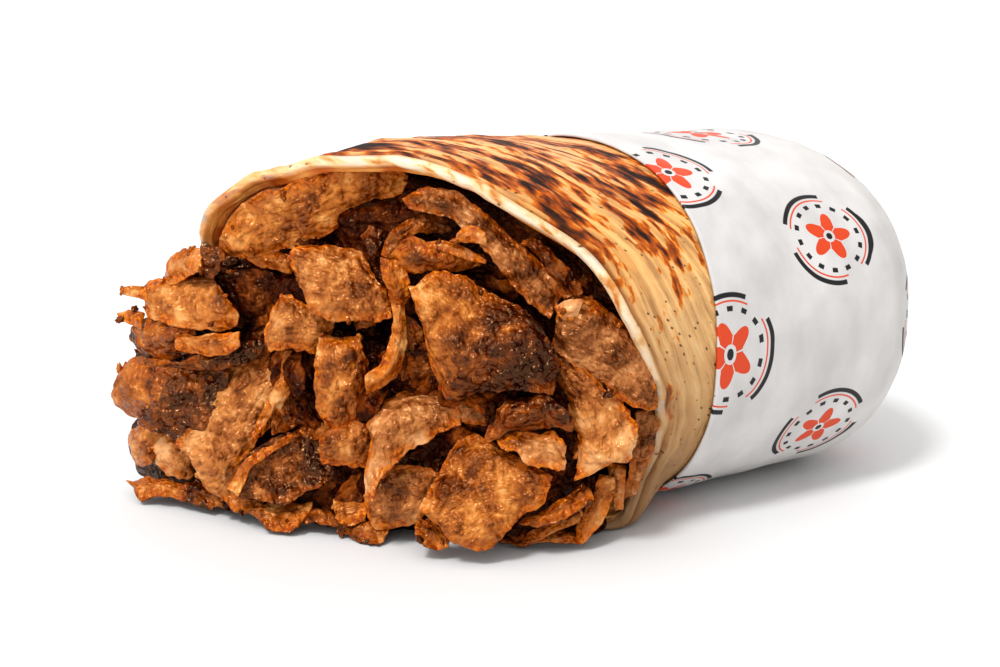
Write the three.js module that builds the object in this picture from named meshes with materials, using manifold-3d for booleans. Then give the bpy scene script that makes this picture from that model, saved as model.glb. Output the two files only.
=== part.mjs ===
// A kebab wrap: shaved meat rolled in grilled flatbread, its closed half held in a paper sleeve.
//
// Millimetres, +Z up. The wrap lies on its side along X. Its cut mouth faces -X and the near side -Y,
// the sleeve's closed tail is at +X, and it rests on z = 0. All shapes are first worked out with the
// middle of the mouth above x = 0, y = 0; the last lines move the whole so that the origin is under
// the middle of its outer box.

import * as THREE from 'three';
import { mergeVertices } from 'three/addons/utils/BufferGeometryUtils.js';
import Module from 'manifold-3d';

const wasm = await Module();
wasm.setup();

// ---- Driving dimensions ---------------------------------------------------------------------------

const clearance = 0.3;          // between any two pieces that lie against each other

// The rolled wrap, measured over the paper
const mouthWidth = 82.4;
const mouthHeight = 80;
const tailWidth = 98.2;
const tailHeight = 74.8;
const wrapLength = 115.6;       // middle of the mouth to the end of the tail
const tailRounding = 27.7;      // length over which the tail closes
const squareness = 2.3;         // 2 is an ellipse, higher is squarer
const tailSquareness = 2.4;
const sag = 1.2;                // the roll has sunk this much into a flat strip that it rests on

// The cut across the mouth: it leans forward at the top and runs back towards the near side
const mouthLean = -0.407;       // x for each mm of height
const mouthSkew = -0.634;       // x for each mm of y

const flatbreadThickness = 2.6;
const seamStart = -63;          // degrees, from +Y towards the top: outer edge of the rolled sheet
const seamEnd = 441;            // inner edge, after one turn and 144 degrees of overlap
const angleStep = 9;            // facets of the sheet and of the sleeve, so that they lie alike
const tongueLength = 15;        // lower lip that has flopped forward onto the table
const tongueAngle = 244;
const shoulderDrop = 2.2;       // the far shoulder of the mouth has sunk

const paperThickness = 0.5;
const paperRim = 43.5;          // x of the sleeve's front edge
const pleats = 14;              // folds that gather the sleeve's tail
const pleatDepth = 1.3;

const sliceThickness = 2.5;     // shaved meat
const bulge = 3;                // how far the packed meat swells out of the roll
const moundReach = 14.5;          // how far the mound before it stands out from the middle of the mouth

// ---- Small helpers --------------------------------------------------------------------------------

const radians = THREE.MathUtils.degToRad;
const lerp = THREE.MathUtils.lerp;
const smooth = THREE.MathUtils.smoothstep;
const vec = (x, y, z) => new THREE.Vector3(x, y, z);

// Keeps the sign of a cosine or sine while squaring off the circle that it draws
const squared = (value, power) => Math.sign(value) * Math.abs(value) ** (2 / power);

// A smooth hump of height 1 at `middle`, gone `reach` away on both sides; angles wrap round
function hump(angle, middle, reach) {
  const away = Math.abs(((angle - middle + 540) % 360) - 180);
  return 1 - smooth(away, 0, reach);
}

// Closed skin over a row of rings. A ring is a list of points, or one point where the skin closes.
// A full ring at either end is capped by a ladder between its two halves.
function skin(rings) {
  const points = [];
  const faces = [];
  const starts = rings.map((ring) => {
    points.push(...ring);
    return points.length - ring.length;
  });
  for (let i = 0; i + 1 < rings.length; i += 1) {
    const [ringA, ringB] = [rings[i], rings[i + 1]];
    const count = Math.max(ringA.length, ringB.length);
    for (let k = 0; k < count; k += 1) {
      const next = (k + 1) % count;
      const a = starts[i] + (ringA.length > 1 ? k : 0);
      const b = starts[i] + (ringA.length > 1 ? next : 0);
      const c = starts[i + 1] + (ringB.length > 1 ? k : 0);
      const d = starts[i + 1] + (ringB.length > 1 ? next : 0);
      if (ringA.length > 1) faces.push([a, b, c]);
      if (ringB.length > 1) faces.push([b, d, c]);
    }
  }
  const ladder = (ring, start, turned) => {
    const count = ring.length;
    for (let k = 0; k + 1 < count / 2; k += 1) {
      const quad = [k, k + 1, count - 2 - k, count - 1 - k].map((n) => start + n);
      const pair = [[quad[0], quad[1], quad[2]], [quad[0], quad[2], quad[3]]];
      for (const face of pair) {
        if (new Set(face).size === 3) faces.push(turned ? face.reverse() : face);
      }
    }
  };
  if (rings[0].length > 1) ladder(rings[0], starts[0], true);
  if (rings.at(-1).length > 1) ladder(rings.at(-1), starts.at(-1), false);

  const geometry = new THREE.BufferGeometry().setFromPoints(points);
  geometry.setIndex(faces.flat());
  return facingOut(mergeVertices(geometry, 1e-4));
}

// Turns a closed geometry's faces outward when its volume comes out negative
function facingOut(geometry) {
  const place = geometry.getAttribute('position');
  const index = geometry.getIndex().array;
  const corner = [vec(), vec(), vec()];
  let volume = 0;
  for (let i = 0; i < index.length; i += 3) {
    corner.forEach((point, n) => point.fromBufferAttribute(place, index[i + n]));
    volume += corner[0].dot(corner[1].clone().cross(corner[2]));
  }
  if (volume < 0) {
    for (let i = 0; i < index.length; i += 3) {
      [index[i + 1], index[i + 2]] = [index[i + 2], index[i + 1]];
    }
  }
  return geometry;
}

function toSolid(geometry) {
  return new wasm.Manifold(new wasm.Mesh({
    numProp: 3,
    vertProperties: new Float32Array(geometry.getAttribute('position').array),
    triVerts: new Uint32Array(geometry.getIndex().array),
  }));
}

function toGeometry(solid) {
  const mesh = solid.getMesh();
  const geometry = new THREE.BufferGeometry();
  geometry.setAttribute('position', new THREE.BufferAttribute(mesh.vertProperties, 3));
  geometry.setIndex(new THREE.BufferAttribute(mesh.triVerts, 1));
  return geometry;
}

const largestBody = (solid) => solid.decompose().sort((a, b) => b.volume() - a.volume())[0];

// ---- The wrap's outer form ------------------------------------------------------------------------

// Point on the wrap at station x and an angle from +Y towards the top, drawn in by `inset` all round.
// `closing` runs from 0, where the tail starts to round, to 1 at its end. `floor` is its lowest height.
function wrapPoint(x, angle, inset, closing = 0, floor = inset) {
  const along = x / wrapLength;
  const halfWidth = lerp(mouthWidth, tailWidth, along) / 2;
  const halfHeight = lerp(mouthHeight, tailHeight, along) / 2;
  const quarter = closing * Math.PI / 2;
  const girth = squared(Math.cos(quarter), tailSquareness);
  const reach = squared(Math.sin(quarter), tailSquareness) * (tailRounding - inset);
  const side = squared(Math.cos(radians(angle)), squareness);
  const rise = squared(Math.sin(radians(angle)), squareness);
  const below = rise < 0 ? sag : 0;
  const drop = shoulderDrop * hump(angle, 52, 50) * (1 - smooth(x, -30, 30));
  return vec(
    x + reach,
    (halfWidth - inset) * side * girth - drop * 0.5,
    Math.max(halfHeight + (halfHeight + below - inset) * rise * girth - drop, floor),
  );
}

// Where the mouth's cut meets a given angle of the roll, with the waves of a hand-rolled edge
function mouthStation(angle, inset) {
  let x = 0;
  for (let pass = 0; pass < 4; pass += 1) {
    const point = wrapPoint(x, angle, inset);
    x = mouthSkew * point.y + mouthLean * (point.z - mouthHeight / 2);
  }
  const waves = 0.9 * Math.sin(radians(3 * angle + 40)) + 0.6 * Math.sin(radians(8 * angle));
  const innerTurn = 3.5 * smooth(angle, 300, 330);
  const tongue = tongueLength * hump(angle, tongueAngle, 17) * (1 - smooth(angle, 300, 330));
  return x + waves + innerTurn - tongue;
}

// ---- Flatbread ------------------------------------------------------------------------------------

// The sheet lies on the table in front of the sleeve, and on the paper inside it
const restingHeight = (x, underPaper) => lerp(underPaper - paperThickness - 0.2, underPaper,
  smooth(x, paperRim - 10, paperRim - 2));

// One sheet, rolled a turn and a half. `spread` thickens it on all sides, for cutting its neighbours.
function flatbreadGeometry(spread = 0) {
  const stations = 8;
  const lipSteps = 4;
  const thick = flatbreadThickness + 2 * spread;
  const paper = paperThickness + clearance - spread;
  const tailStation = wrapLength - tailRounding;
  const tailClosing = 0.4;
  const loops = [];
  for (let angle = seamStart; angle <= seamEnd; angle += angleStep) {
    const tuck = (flatbreadThickness + clearance) * smooth(angle, 268, 296);
    const outer = paper + tuck;
    const ruffle = 0.7 * Math.sin(radians(6 * angle + 20)) + 0.4 * Math.sin(radians(11 * angle));
    const lip = mouthStation(angle, outer) - spread;
    const back = [];
    const front = [];
    for (let s = 0; s <= stations; s += 1) {
      const part = (s / stations) ** 1.5;
      const x = lerp(lip + thick / 2, tailStation, part);
      const inward = outer + Math.max(0, ruffle) * (1 - smooth(x - lip, 2, 18));
      const floor = restingHeight(x, outer - tuck) + tuck;
      back.push(wrapPoint(x, angle, inward, 0, floor));
      front.push(wrapPoint(x, angle, inward + thick, 0, floor + thick));
    }
    back.push(wrapPoint(tailStation, angle, outer, tailClosing));
    front.push(wrapPoint(tailStation, angle, outer + thick, tailClosing));
    const bead = [];
    for (let s = 1; s < lipSteps; s += 1) {
      const turn = Math.PI * s / lipSteps;
      const x = lip + thick / 2 * (1 - Math.sin(turn));
      const inward = thick / 2 * (1 - Math.cos(turn));
      const floor = restingHeight(x, outer - tuck) + tuck + inward;
      bead.push(wrapPoint(x, angle, outer + Math.max(0, ruffle) + inward, 0, floor));
    }
    loops.push([...back.reverse(), ...bead, ...front]);
  }
  return skin(loops);
}

// ---- Paper sleeve ---------------------------------------------------------------------------------

// One skin of the sleeve, from its rim to the middle of its gathered tail
function sleeveRings(inset) {
  const sides = 360 / angleStep;
  const straightSteps = 4;
  const closingSteps = 6;
  const tailStation = wrapLength - tailRounding;
  const ring = (x, closing) => Array.from({ length: sides }, (_, k) => {
    const angle = angleStep * k;
    const point = wrapPoint(x, angle, inset, closing);
    const fold = pleatDepth * smooth(closing, 0.5, 0.85) * Math.abs(Math.sin(radians(pleats * angle / 2)));
    point.x -= fold;
    return point;
  });
  const rings = [];
  for (let s = 0; s <= straightSteps; s += 1) {
    rings.push(ring(lerp(paperRim, tailStation, s / straightSteps), 0));
  }
  for (let s = 1; s < closingSteps; s += 1) {
    rings.push(ring(tailStation, s / closingSteps));
  }
  const end = wrapPoint(tailStation, 90, inset, 1);
  end.x -= pleatDepth;
  return [...rings, [end]];
}

function sleeveGeometry() {
  return skin([...sleeveRings(0).reverse(), ...sleeveRings(paperThickness)]);
}

// ---- Meat -----------------------------------------------------------------------------------------

// Places on the heap are given as seen from in front of the mouth: `along` runs from its middle to
// the near side, `height` is above the table, and `proud` is how far out of the mouth.
const alongAxis = vec(0.535, -0.845, 0).normalize();
const outAxis = vec(-0.845, -0.535, 0).normalize();
const upAxis = vec(0, 0, 1);
const heapPoint = (along, height, proud) => vec(0, 0, height)
  .addScaledVector(alongAxis, along)
  .addScaledVector(outAxis, proud);

// The packed meat inside the roll, from near the tail out to the mouth, where it bulges a little
function fillingGeometry() {
  const sides = 20;
  const steps = 4;
  const inset = paperThickness + 2 * flatbreadThickness + 4 * clearance + 0.8;
  const tailStation = wrapLength - tailRounding;
  const ring = (part, closing, deeper = 0, forward = -5) => Array.from({ length: sides }, (_, k) => {
    const angle = 360 * (k + 0.5) / sides;
    const start = mouthStation(angle + 360, inset + deeper) - forward;
    return wrapPoint(lerp(start, tailStation, part), angle, inset + deeper, closing);
  });
  const rings = [ring(0, 0, 20, bulge), ring(0, 0, 7, bulge - 2)];
  for (let s = 0; s <= steps; s += 1) rings.push(ring(s / steps, 0));
  rings.push(ring(1, 0.4), ring(1, 0.7));
  const front = heapPoint(0, mouthHeight / 2, bulge);
  return skin([[front], ...rings, [wrapPoint(tailStation, 90, inset, 1).setZ(tailHeight / 2)]]);
}

// The mound that the shavings lie on, in front of the mouth. It stands on the table.
function moundGeometry() {
  const halfWidth = 50;
  const middle = -13;
  const height = 65;
  const spokes = 14;
  const rounds = [0.4, 0.7, 0.88, 1];
  const clearOfLip = 1.5;
  const back = (z) => 0.344 * (z - mouthHeight / 2) + clearOfLip;
  const ring = (round, front) => Array.from({ length: spokes + 1 }, (_, spoke) => {
    const turn = Math.PI * spoke / spokes;
    const along = middle + halfWidth * round * squared(Math.cos(turn), 2.4);
    const z = height * round * squared(Math.sin(turn), 2.4);
    const depth = Math.max(1, (moundReach - back(z)) * Math.sqrt(1 - round ** 6));
    return heapPoint(along, z, back(z) + (front ? depth : 0));
  });
  return skin([
    [heapPoint(middle, 0, moundReach)],
    ...rounds.map((round) => ring(round, true)),
    ...[...rounds].reverse().map((round) => ring(round, false)),
    [heapPoint(middle, 0, back(0))],
  ]);
}

// Each shaving: where its middle is, which way it faces (degrees to the near side, degrees up), how
// its long side is turned from level, its size, how it curls along and across (minus is a hollow),
// and how ragged its edge is.
const shavings = [
  // under the upper lip
  { at: [-20, 64, 12], face: [14, -16], turn: 21, size: [43, 17], curl: [25, -10], ragged: 0.06 },
  { at: [-27, 57, 9], face: [10, 10], turn: -8, size: [17, 7], curl: [10, 20], ragged: 0.12 },
  { at: [8, 66, 8], face: [20, 25], turn: -10, size: [15, 6], curl: [20, 20], ragged: 0.12 },
  { at: [20, 63, 9], face: [30, 22], turn: -37, size: [42, 11], curl: [18, 12], ragged: 0.06 },
  { at: [17, 62, 13], face: [20, 10], turn: 20, size: [7, 6], curl: [30, 30], ragged: 0.1 },
  { at: [37, 57, 4], face: [25, 5], turn: -42, size: [19, 9], curl: [10, 30], ragged: 0.18 },
  { at: [-5, 62, 9], face: [15, 10], turn: 50, size: [11, 9], curl: [30, 30], ragged: 0.2 },
  { at: [-44, 57, 13], face: [0, 10], turn: 80, size: [8, 5], curl: [20, 60], ragged: 0.2 },
  // left side, spilling past the lip
  { at: [-47, 55, 11], face: [-12, 20], turn: 25, size: [13, 10], curl: [20, 20], ragged: 0.1 },
  { at: [-48, 48, 14], face: [-8, 32], turn: 12, size: [27, 18], curl: [25, 45], ragged: 0.08 },
  { at: [-59, 49, 11], face: [0, 20], turn: 4, size: [14, 3.5], curl: [0, 20], ragged: 0.06 },
  { at: [-61, 43, 11], face: [0, 20], turn: -6, size: [13, 3.5], curl: [0, 20], ragged: 0.06 },
  { at: [-57, 37, 12], face: [-15, -8], turn: 10, size: [19, 13], curl: [40, 50], ragged: 0.06 },
  { at: [-41, 39, 16], face: [5, 35], turn: -8, size: [18, 7], curl: [10, 130], ragged: 0.06 },
  { at: [-60, 27, 12], face: [-15, 5], turn: 8, size: [20, 18], curl: [30, 25], ragged: 0.16 },
  { at: [-45, 29, 13], face: [0, 8], turn: 35, size: [28, 15], curl: [10, 20], ragged: 0.08 },
  { at: [-36, 37, 14], face: [10, 30], turn: 13, size: [26, 6], curl: [5, 40], ragged: 0.08 },
  { at: [-39, 20, 17], face: [8, 14], turn: 64, size: [33, 17], curl: [14, 28], ragged: 0.07 },
  { at: [-62, 13, 9], face: [-20, 0], turn: 70, size: [11, 12], curl: [30, 50], ragged: 0.12 },
  { at: [-54, 10, 12], face: [-5, 10], turn: 55, size: [13, 11], curl: [20, 40], ragged: 0.16 },
  { at: [-54, 4, 12], face: [-5, 50], turn: -4, size: [26, 11], curl: [10, 20], ragged: 0.12 },
  // middle
  { at: [-10, 54, 14], face: [22, 28], turn: -12, size: [23, 17], curl: [8, 30], ragged: 0.12 },
  { at: [-20, 46, 15], face: [18, 15], turn: -30, size: [16, 11], curl: [20, 40], ragged: 0.26 },
  { at: [-23, 30, 14], face: [58, 5], turn: 66, size: [21, 15], curl: [10, -70], ragged: 0.08 },
  { at: [-23, 15, 16], face: [14, 18], turn: 31, size: [30, 16], curl: [8, -22], ragged: 0.08 },
  { at: [-10, 34, 17], face: [22, 8], turn: 94, size: [24, 12], curl: [14, 50], ragged: 0.06 },
  { at: [-8, 20, 17], face: [15, 12], turn: 100, size: [12, 11], curl: [20, 40], ragged: 0.18 },
  { at: [1, 43, 14], face: [45, 0], turn: 76, size: [22, 7], curl: [30, 20], ragged: 0.08 },
  { at: [-1, 35, 17], face: [25, 15], turn: 22, size: [9, 5], curl: [20, 60], ragged: 0.08 },
  { at: [10, 60, 12], face: [20, -22], turn: -14, size: [21, 9], curl: [60, -10], ragged: 0.08 },
  { at: [21, 47, 15.5], face: [20, 12], turn: -27, size: [34, 22], curl: [26, 52], ragged: 0.08 },
  { at: [4, 25, 17], face: [2, 34], turn: 30, size: [24, 18], curl: [30, 55], ragged: 0.07 },
  { at: [30, 31, 13], face: [15, 10], turn: -16, size: [20, 10], curl: [20, 90], ragged: 0.1 },
  { at: [30, 23, 13], face: [20, 30], turn: -22, size: [16, 10], curl: [10, 20], ragged: 0.18 },
  // right side, inside the near lip
  { at: [42, 43, 2], face: [24, 8], turn: -40, size: [24, 18], curl: [20, 20], ragged: 0.06 },
  { at: [41, 29, 4], face: [18, 12], turn: -62, size: [25, 14], curl: [10, 20], ragged: 0.14 },
  { at: [46, 21, -4], face: [40, 0], turn: 80, size: [22, 9], curl: [10, 20], ragged: 0.1 },
  // along the table
  { at: [1, 10, 16], face: [8, 15], turn: 8, size: [16, 15], curl: [20, 30], ragged: 0.07 },
  { at: [21, 13, 18], face: [20, 26], turn: 32, size: [26, 23], curl: [14, 20], ragged: 0.08 },
  { at: [31, 14, 9], face: [12, 50], turn: 17, size: [29, 10], curl: [10, 20], ragged: 0.1 },
  { at: [31, 8, 8], face: [12, 50], turn: 14, size: [29, 10], curl: [14, 20], ragged: 0.1 },
  { at: [29, 3, 8], face: [12, 60], turn: 8, size: [24, 10], curl: [6, 20], ragged: 0.14 },
  { at: [40, 9, 3], face: [15, 20], turn: 66, size: [16, 7], curl: [20, 50], ragged: 0.08 },
  { at: [45, 14, -4], face: [20, 10], turn: 72, size: [11, 5], curl: [10, 50], ragged: 0.08 },
  { at: [-25, 4, 15], face: [5, 48], turn: 4, size: [15, 11], curl: [10, 20], ragged: 0.14 },
  { at: [-16, 3, 15], face: [5, 48], turn: -4, size: [11, 8], curl: [10, 20], ragged: 0.16 },
  { at: [-8, 5, 15], face: [10, 30], turn: -35, size: [14, 11], curl: [20, 50], ragged: 0.16 },
  { at: [8, 3, 17], face: [10, 50], turn: 4, size: [12, 9], curl: [10, 40], ragged: 0.2 },
];

// Uneven round a shaving's edge, and different for each one
function unevenness(angle, number) {
  return 0.5 * Math.sin(3 * angle + 2.4 * number) + 0.35 * Math.sin(5 * angle + 1.7 * number)
    + 0.3 * Math.sin(9 * angle + 3.1 * number);
}

// A thin, curled, ragged sheet of meat. `spread` grows it on all sides.
function shavingGeometry({ at, face, turn, size, curl, ragged }, number) {
  const points = 12;
  const outline = 2.5;
  const rounds = [0.5, 0.92];
  const [yaw, pitch] = face.map(radians);
  const look = vec(0, 0, 0)
    .addScaledVector(outAxis, Math.cos(pitch) * Math.cos(yaw))
    .addScaledVector(alongAxis, Math.cos(pitch) * Math.sin(yaw))
    .addScaledVector(upAxis, Math.sin(pitch));
  const level = upAxis.clone().cross(look).normalize();
  const rise = look.clone().cross(level);
  const tilt = radians(turn);
  const lengthAxis = level.clone().multiplyScalar(Math.cos(tilt)).addScaledVector(rise, Math.sin(tilt));
  const widthAxis = rise.clone().multiplyScalar(Math.cos(tilt)).addScaledVector(level, -Math.sin(tilt));
  const middle = heapPoint(...at);

  // Rolls a distance from the middle round an arc: how far out it lands, and how far it drops
  const roll = (distance, extent, degrees) => {
    if (Math.abs(degrees) < 1) return [distance, 0];
    const radius = extent / radians(degrees);
    return [radius * Math.sin(distance / radius), radius * (1 - Math.cos(distance / radius))];
  };
  const place = (angle, round, side) => {
    const edge = 1 + ragged * unevenness(angle, number);
    const along = size[0] / 2 * squared(Math.cos(angle), outline) * round * edge;
    const across = size[1] / 2 * squared(Math.sin(angle), outline) * round * edge;
    const [u, dropU] = roll(along, size[0], curl[0]);
    const [v, dropV] = roll(across, size[1], curl[1]);
    const wave = 0.5 * round * Math.sin(2 * angle + number);
    const half = sliceThickness / 2 * (1 - 0.35 * round ** 4);
    const point = middle.clone()
      .addScaledVector(lengthAxis, u)
      .addScaledVector(widthAxis, v)
      .addScaledVector(look, side * half - dropU - dropV + wave);
    point.z = Math.max(point.z, side > 0 ? 0.55 : 0);
    return point;
  };
  const ring = (round, side) => Array.from({ length: points }, (_, k) => (
    place(2 * Math.PI * k / points, round, side)));
  return skin([
    [place(0, 0, 1)],
    ...rounds.map((round) => ring(round, 1)),
    ring(1, 0),
    ...[...rounds].reverse().map((round) => ring(round, -1)),
    [place(0, 0, -1)],
  ]);
}

function meatGeometry() {
  let heap = toSolid(fillingGeometry()).add(toSolid(moundGeometry()));
  shavings.forEach((shaving, number) => {
    heap = heap.add(toSolid(shavingGeometry(shaving, number)));
  });
  return toGeometry(largestBody(heap.subtract(toSolid(flatbreadGeometry(clearance)))));
}

// ---- The whole ------------------------------------------------------------------------------------

function piece(name, geometry, color, roughness) {
  const material = new THREE.MeshStandardMaterial({ color, roughness, metalness: 0 });
  geometry.computeVertexNormals();
  const mesh = new THREE.Mesh(geometry, material);
  mesh.name = name;
  return mesh;
}

const wrap = new THREE.Group();
wrap.add(
  piece('flatbread', flatbreadGeometry(), '#e2b878', 0.6),
  piece('paper_sleeve', sleeveGeometry(), '#dcdcdd', 0.75),
  piece('kebab_meat', meatGeometry(), '#a5642b', 0.45),
);

const outerBox = new THREE.Box3().setFromObject(wrap);
const middle = outerBox.getCenter(vec());
wrap.position.set(-middle.x, -middle.y, -outerBox.min.z);

export default wrap;
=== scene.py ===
# %% [markdown]
# # A kebab wrap in a paper sleeve
#
# The object is a fat roll of grilled flatbread, packed with shaved kebab meat. It lies on its side. The
# closed half sits in a greaseproof paper sleeve, and the meat spills out of the slanted open end onto the
# table. The model has three kinds of thing to get right: a thin baked sheet with scorch marks, thin
# printed paper, and a heap of moist, ragged slices.
#
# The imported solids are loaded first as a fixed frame. Everything after that is worked out in millimetres,
# in the same places as those solids, and turned into metres only where a mesh is made.

import itertools
import math
from collections import namedtuple

import bpy
import numpy as np
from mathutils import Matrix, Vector


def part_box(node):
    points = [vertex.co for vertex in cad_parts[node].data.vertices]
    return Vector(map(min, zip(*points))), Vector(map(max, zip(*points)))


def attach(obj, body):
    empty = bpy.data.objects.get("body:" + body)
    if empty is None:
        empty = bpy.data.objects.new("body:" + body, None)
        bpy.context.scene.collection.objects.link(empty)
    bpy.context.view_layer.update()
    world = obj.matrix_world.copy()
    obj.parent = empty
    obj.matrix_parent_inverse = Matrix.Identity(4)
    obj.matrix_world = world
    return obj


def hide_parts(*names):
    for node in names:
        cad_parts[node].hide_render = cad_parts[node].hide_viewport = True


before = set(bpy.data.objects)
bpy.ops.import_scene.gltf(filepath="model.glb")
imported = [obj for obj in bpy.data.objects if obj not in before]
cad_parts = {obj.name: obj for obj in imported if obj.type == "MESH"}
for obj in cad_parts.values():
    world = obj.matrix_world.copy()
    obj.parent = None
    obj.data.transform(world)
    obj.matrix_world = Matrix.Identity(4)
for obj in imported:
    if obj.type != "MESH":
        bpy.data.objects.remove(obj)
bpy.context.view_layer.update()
MM = 0.001

# %% [markdown]
# ## Driving dimensions
#
# These are the sizes of the solids, so that each fine surface lies where its solid does. A comment says
# where the bread goes its own way by a few millimetres, as soft dough does. The roll is a squarish oval
# whose size changes evenly from its mouth to its tail. The mouth is cut at a slant.

# %% Driving dimensions, in millimetres and degrees
CLEARANCE = 0.3
MOUTH_SIZE = np.array([82.4, 80.0])     # width, height
TAIL_SIZE = np.array([98.2, 74.8])
WRAP_LENGTH = 115.6
TAIL_ROUNDING = 27.7
SQUARENESS = 2.3
TAIL_SQUARENESS = 2.4
SAG = 1.2
MOUTH_LEAN = -0.407
MOUTH_SKEW = -0.634

BREAD_THICKNESS = 2.6
SEAM_START, SEAM_END = -63, 441
TONGUE_LENGTH, TONGUE_ANGLE = 15, 244
SHOULDER_DROP = 1.3                     # in the solids this far shoulder has sunk 0.9 mm more
SWELL = 2.3                             # here alone, the bread swells up in front of the tight sleeve,
FAR_SPREAD = 3.4                        # the meat pushes its far side out at the mouth,
DROOP_ANGLE = 231                       # and the lower lip has sunk onto the table in a lobe

PAPER_THICKNESS = 0.5
PAPER_RIM = 43.5
PLEATS = 14
PLEAT_DEPTH = 1.3

SLICE_THICKNESS = 2.5
BULGE = 3
MOUND_MIDDLE, MOUND_HALF_WIDTH, MOUND_HEIGHT = -13, 50, 65
MOUND_SQUARENESS = 2.4
MOUND_LEAN, MOUND_START = 0.344, 1.5    # its back leans with the mouth
MOUND_REACH = 14.5                      # and its front stands this far out

TAIL_STATION = WRAP_LENGTH - TAIL_ROUNDING

sleeve_low, sleeve_high = (np.array(corner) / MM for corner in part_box("paper_sleeve"))
mouth_place = np.array([sleeve_low[0] - PAPER_RIM, (sleeve_low[1] + sleeve_high[1]) / 2, 0.0])
print("the middle of the mouth is over", mouth_place.round(2))

# %% [markdown]
# ## Camera, floor and light
#
# The photograph was taken from in front of the mouth, a little to the near side and a little above, with
# a normal lens. The place of the camera is given from the middle of the mouth. The floor is a wide white
# sheet, and the light is a pale sky with one big soft lamp, upper left, as in a light tent. Sun lamps with
# a wide angle do for that, because they light the whole floor evenly. The big lamp's bright middle is a
# narrower one, which gives wet things their small sharp highlights, and a weak one lights the back.

# %% Camera
CAMERA_FROM_MOUTH = np.array([-176.57, -271.71, 126.25])
TARGET_FROM_MOUTH = np.array([20.7, 0.0, 37.9])

camera_data = bpy.data.cameras.new("camera")
camera_data.lens = 57.6
camera_data.sensor_width = 36.0
camera_data.clip_start = 0.01
camera = bpy.data.objects.new("camera", camera_data)
bpy.context.collection.objects.link(camera)
camera.location = (mouth_place + CAMERA_FROM_MOUTH) * MM
view_line = Vector(TARGET_FROM_MOUTH - CAMERA_FROM_MOUTH)
camera.rotation_euler = view_line.to_track_quat("-Z", "Y").to_euler()
bpy.context.scene.camera = camera
print("camera", round(view_line.length, 1), "mm from its target")


# %% Colours from hex values
def linear(hex_colour):
    """An sRGB hex colour as the linear RGBA that shaders work in."""
    channels = [int(hex_colour[i:i + 2], 16) / 255 for i in (1, 3, 5)]
    straight = [c / 12.92 if c <= 0.04045 else ((c + 0.055) / 1.055) ** 2.4 for c in channels]
    return (*straight, 1.0)


def add(tree, kind, inputs=None, stops=None, **settings):
    """Adds one node. Each input, by name or number, takes a value, an output, or a node to follow.

    `stops` are a colour ramp's, and start with its two ends.
    """
    node = tree.nodes.new("ShaderNode" + kind)
    for name, value in settings.items():
        setattr(node, name, value)
    for name, value in (inputs or {}).items():
        if isinstance(value, bpy.types.Node):
            value = next(socket for socket in value.outputs if socket.enabled)
        if isinstance(value, bpy.types.NodeSocket):
            tree.links.new(value, node.inputs[name])
        else:
            node.inputs[name].default_value = value
    for number, (position, colour) in enumerate(stops or []):
        ramp = node.color_ramp.elements
        stop = ramp[number] if number < 2 else ramp.new(position)
        stop.position, stop.color = position, linear(colour)
    return node


def new_material(name):
    """An empty node material with its output: returns the material, its tree and the output node."""
    material = bpy.data.materials.new(name)
    material.use_nodes = True
    tree = material.node_tree
    tree.nodes.clear()
    return material, tree, tree.nodes.new("ShaderNodeOutputMaterial")


print("mid grey #808080 is", round(linear("#808080")[0], 3), "in linear light")

# %% Floor, sky and lamps
FLOOR_WIDTH = 14.0                      # metres, so that it fills the view

floor_material, tree, output = new_material("matt white card")
card = add(tree, "BsdfDiffuse", {"Color": linear("#e1e1e1")})
tree.links.new(card.outputs[0], output.inputs["Surface"])

half = FLOOR_WIDTH / 2
floor_mesh = bpy.data.meshes.new("floor")
floor_mesh.from_pydata([(-half, -half, 0), (half, -half, 0), (half, half, 0), (-half, half, 0)], [],
                       [(0, 1, 2, 3)])
floor_mesh.materials.append(floor_material)
floor = bpy.data.objects.new("floor", floor_mesh)
bpy.context.collection.objects.link(floor)

world = bpy.data.worlds.new("light tent")
bpy.context.scene.world = world
world.use_nodes = True
world.node_tree.nodes["Background"].inputs["Color"].default_value = (1, 1, 1, 1)
world.node_tree.nodes["Background"].inputs["Strength"].default_value = 0.56

# Each lamp: where it shines from (degrees round from the camera, degrees up), strength, its angle
LAMPS = {
    "key": (-38, 56, 1.0, 90),
    "middle of the key": (-38, 56, 1.5, 12),
    "back": (165, 38, 0.5, 60),
}
toward_camera = math.atan2(CAMERA_FROM_MOUTH[1], CAMERA_FROM_MOUTH[0])
for name, (side, up, strength, angle) in LAMPS.items():
    lamp_data = bpy.data.lights.new(name, "SUN")
    lamp_data.energy = strength
    lamp_data.angle = math.radians(angle)
    lamp = bpy.data.objects.new(name, lamp_data)
    bpy.context.collection.objects.link(lamp)
    turn, rise = toward_camera + math.radians(side), math.radians(up)
    shine = -Vector((math.cos(turn) * math.cos(rise), math.sin(turn) * math.cos(rise), math.sin(rise)))
    lamp.rotation_euler = shine.to_track_quat("-Z", "Y").to_euler()

bpy.context.scene.view_settings.view_transform = "Standard"
bpy.context.scene.view_settings.look = "Medium High Contrast"
print("lit by", list(LAMPS), "and a pale sky")


# %% [markdown]
# ## Helpers for shapes
#
# All surfaces are worked out as arrays of points with numpy, which is quick enough for a few hundred
# thousand of them. Relief comes from one smooth noise: random slopes on a grid, blended between its
# corners. Its size is given in millimetres, so each bump has the width that it has on the real thing.

# %% Curves and noise
def smooth(value, low, high):
    """0 below `low`, 1 above `high`, and an even S between."""
    t = np.clip((value - low) / (high - low), 0, 1)
    return t * t * (3 - 2 * t)


def squared(value, power):
    """Squares off a cosine or sine: power 2 draws an ellipse, more is squarer."""
    return np.sign(value) * np.abs(value) ** (2 / power)


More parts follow.
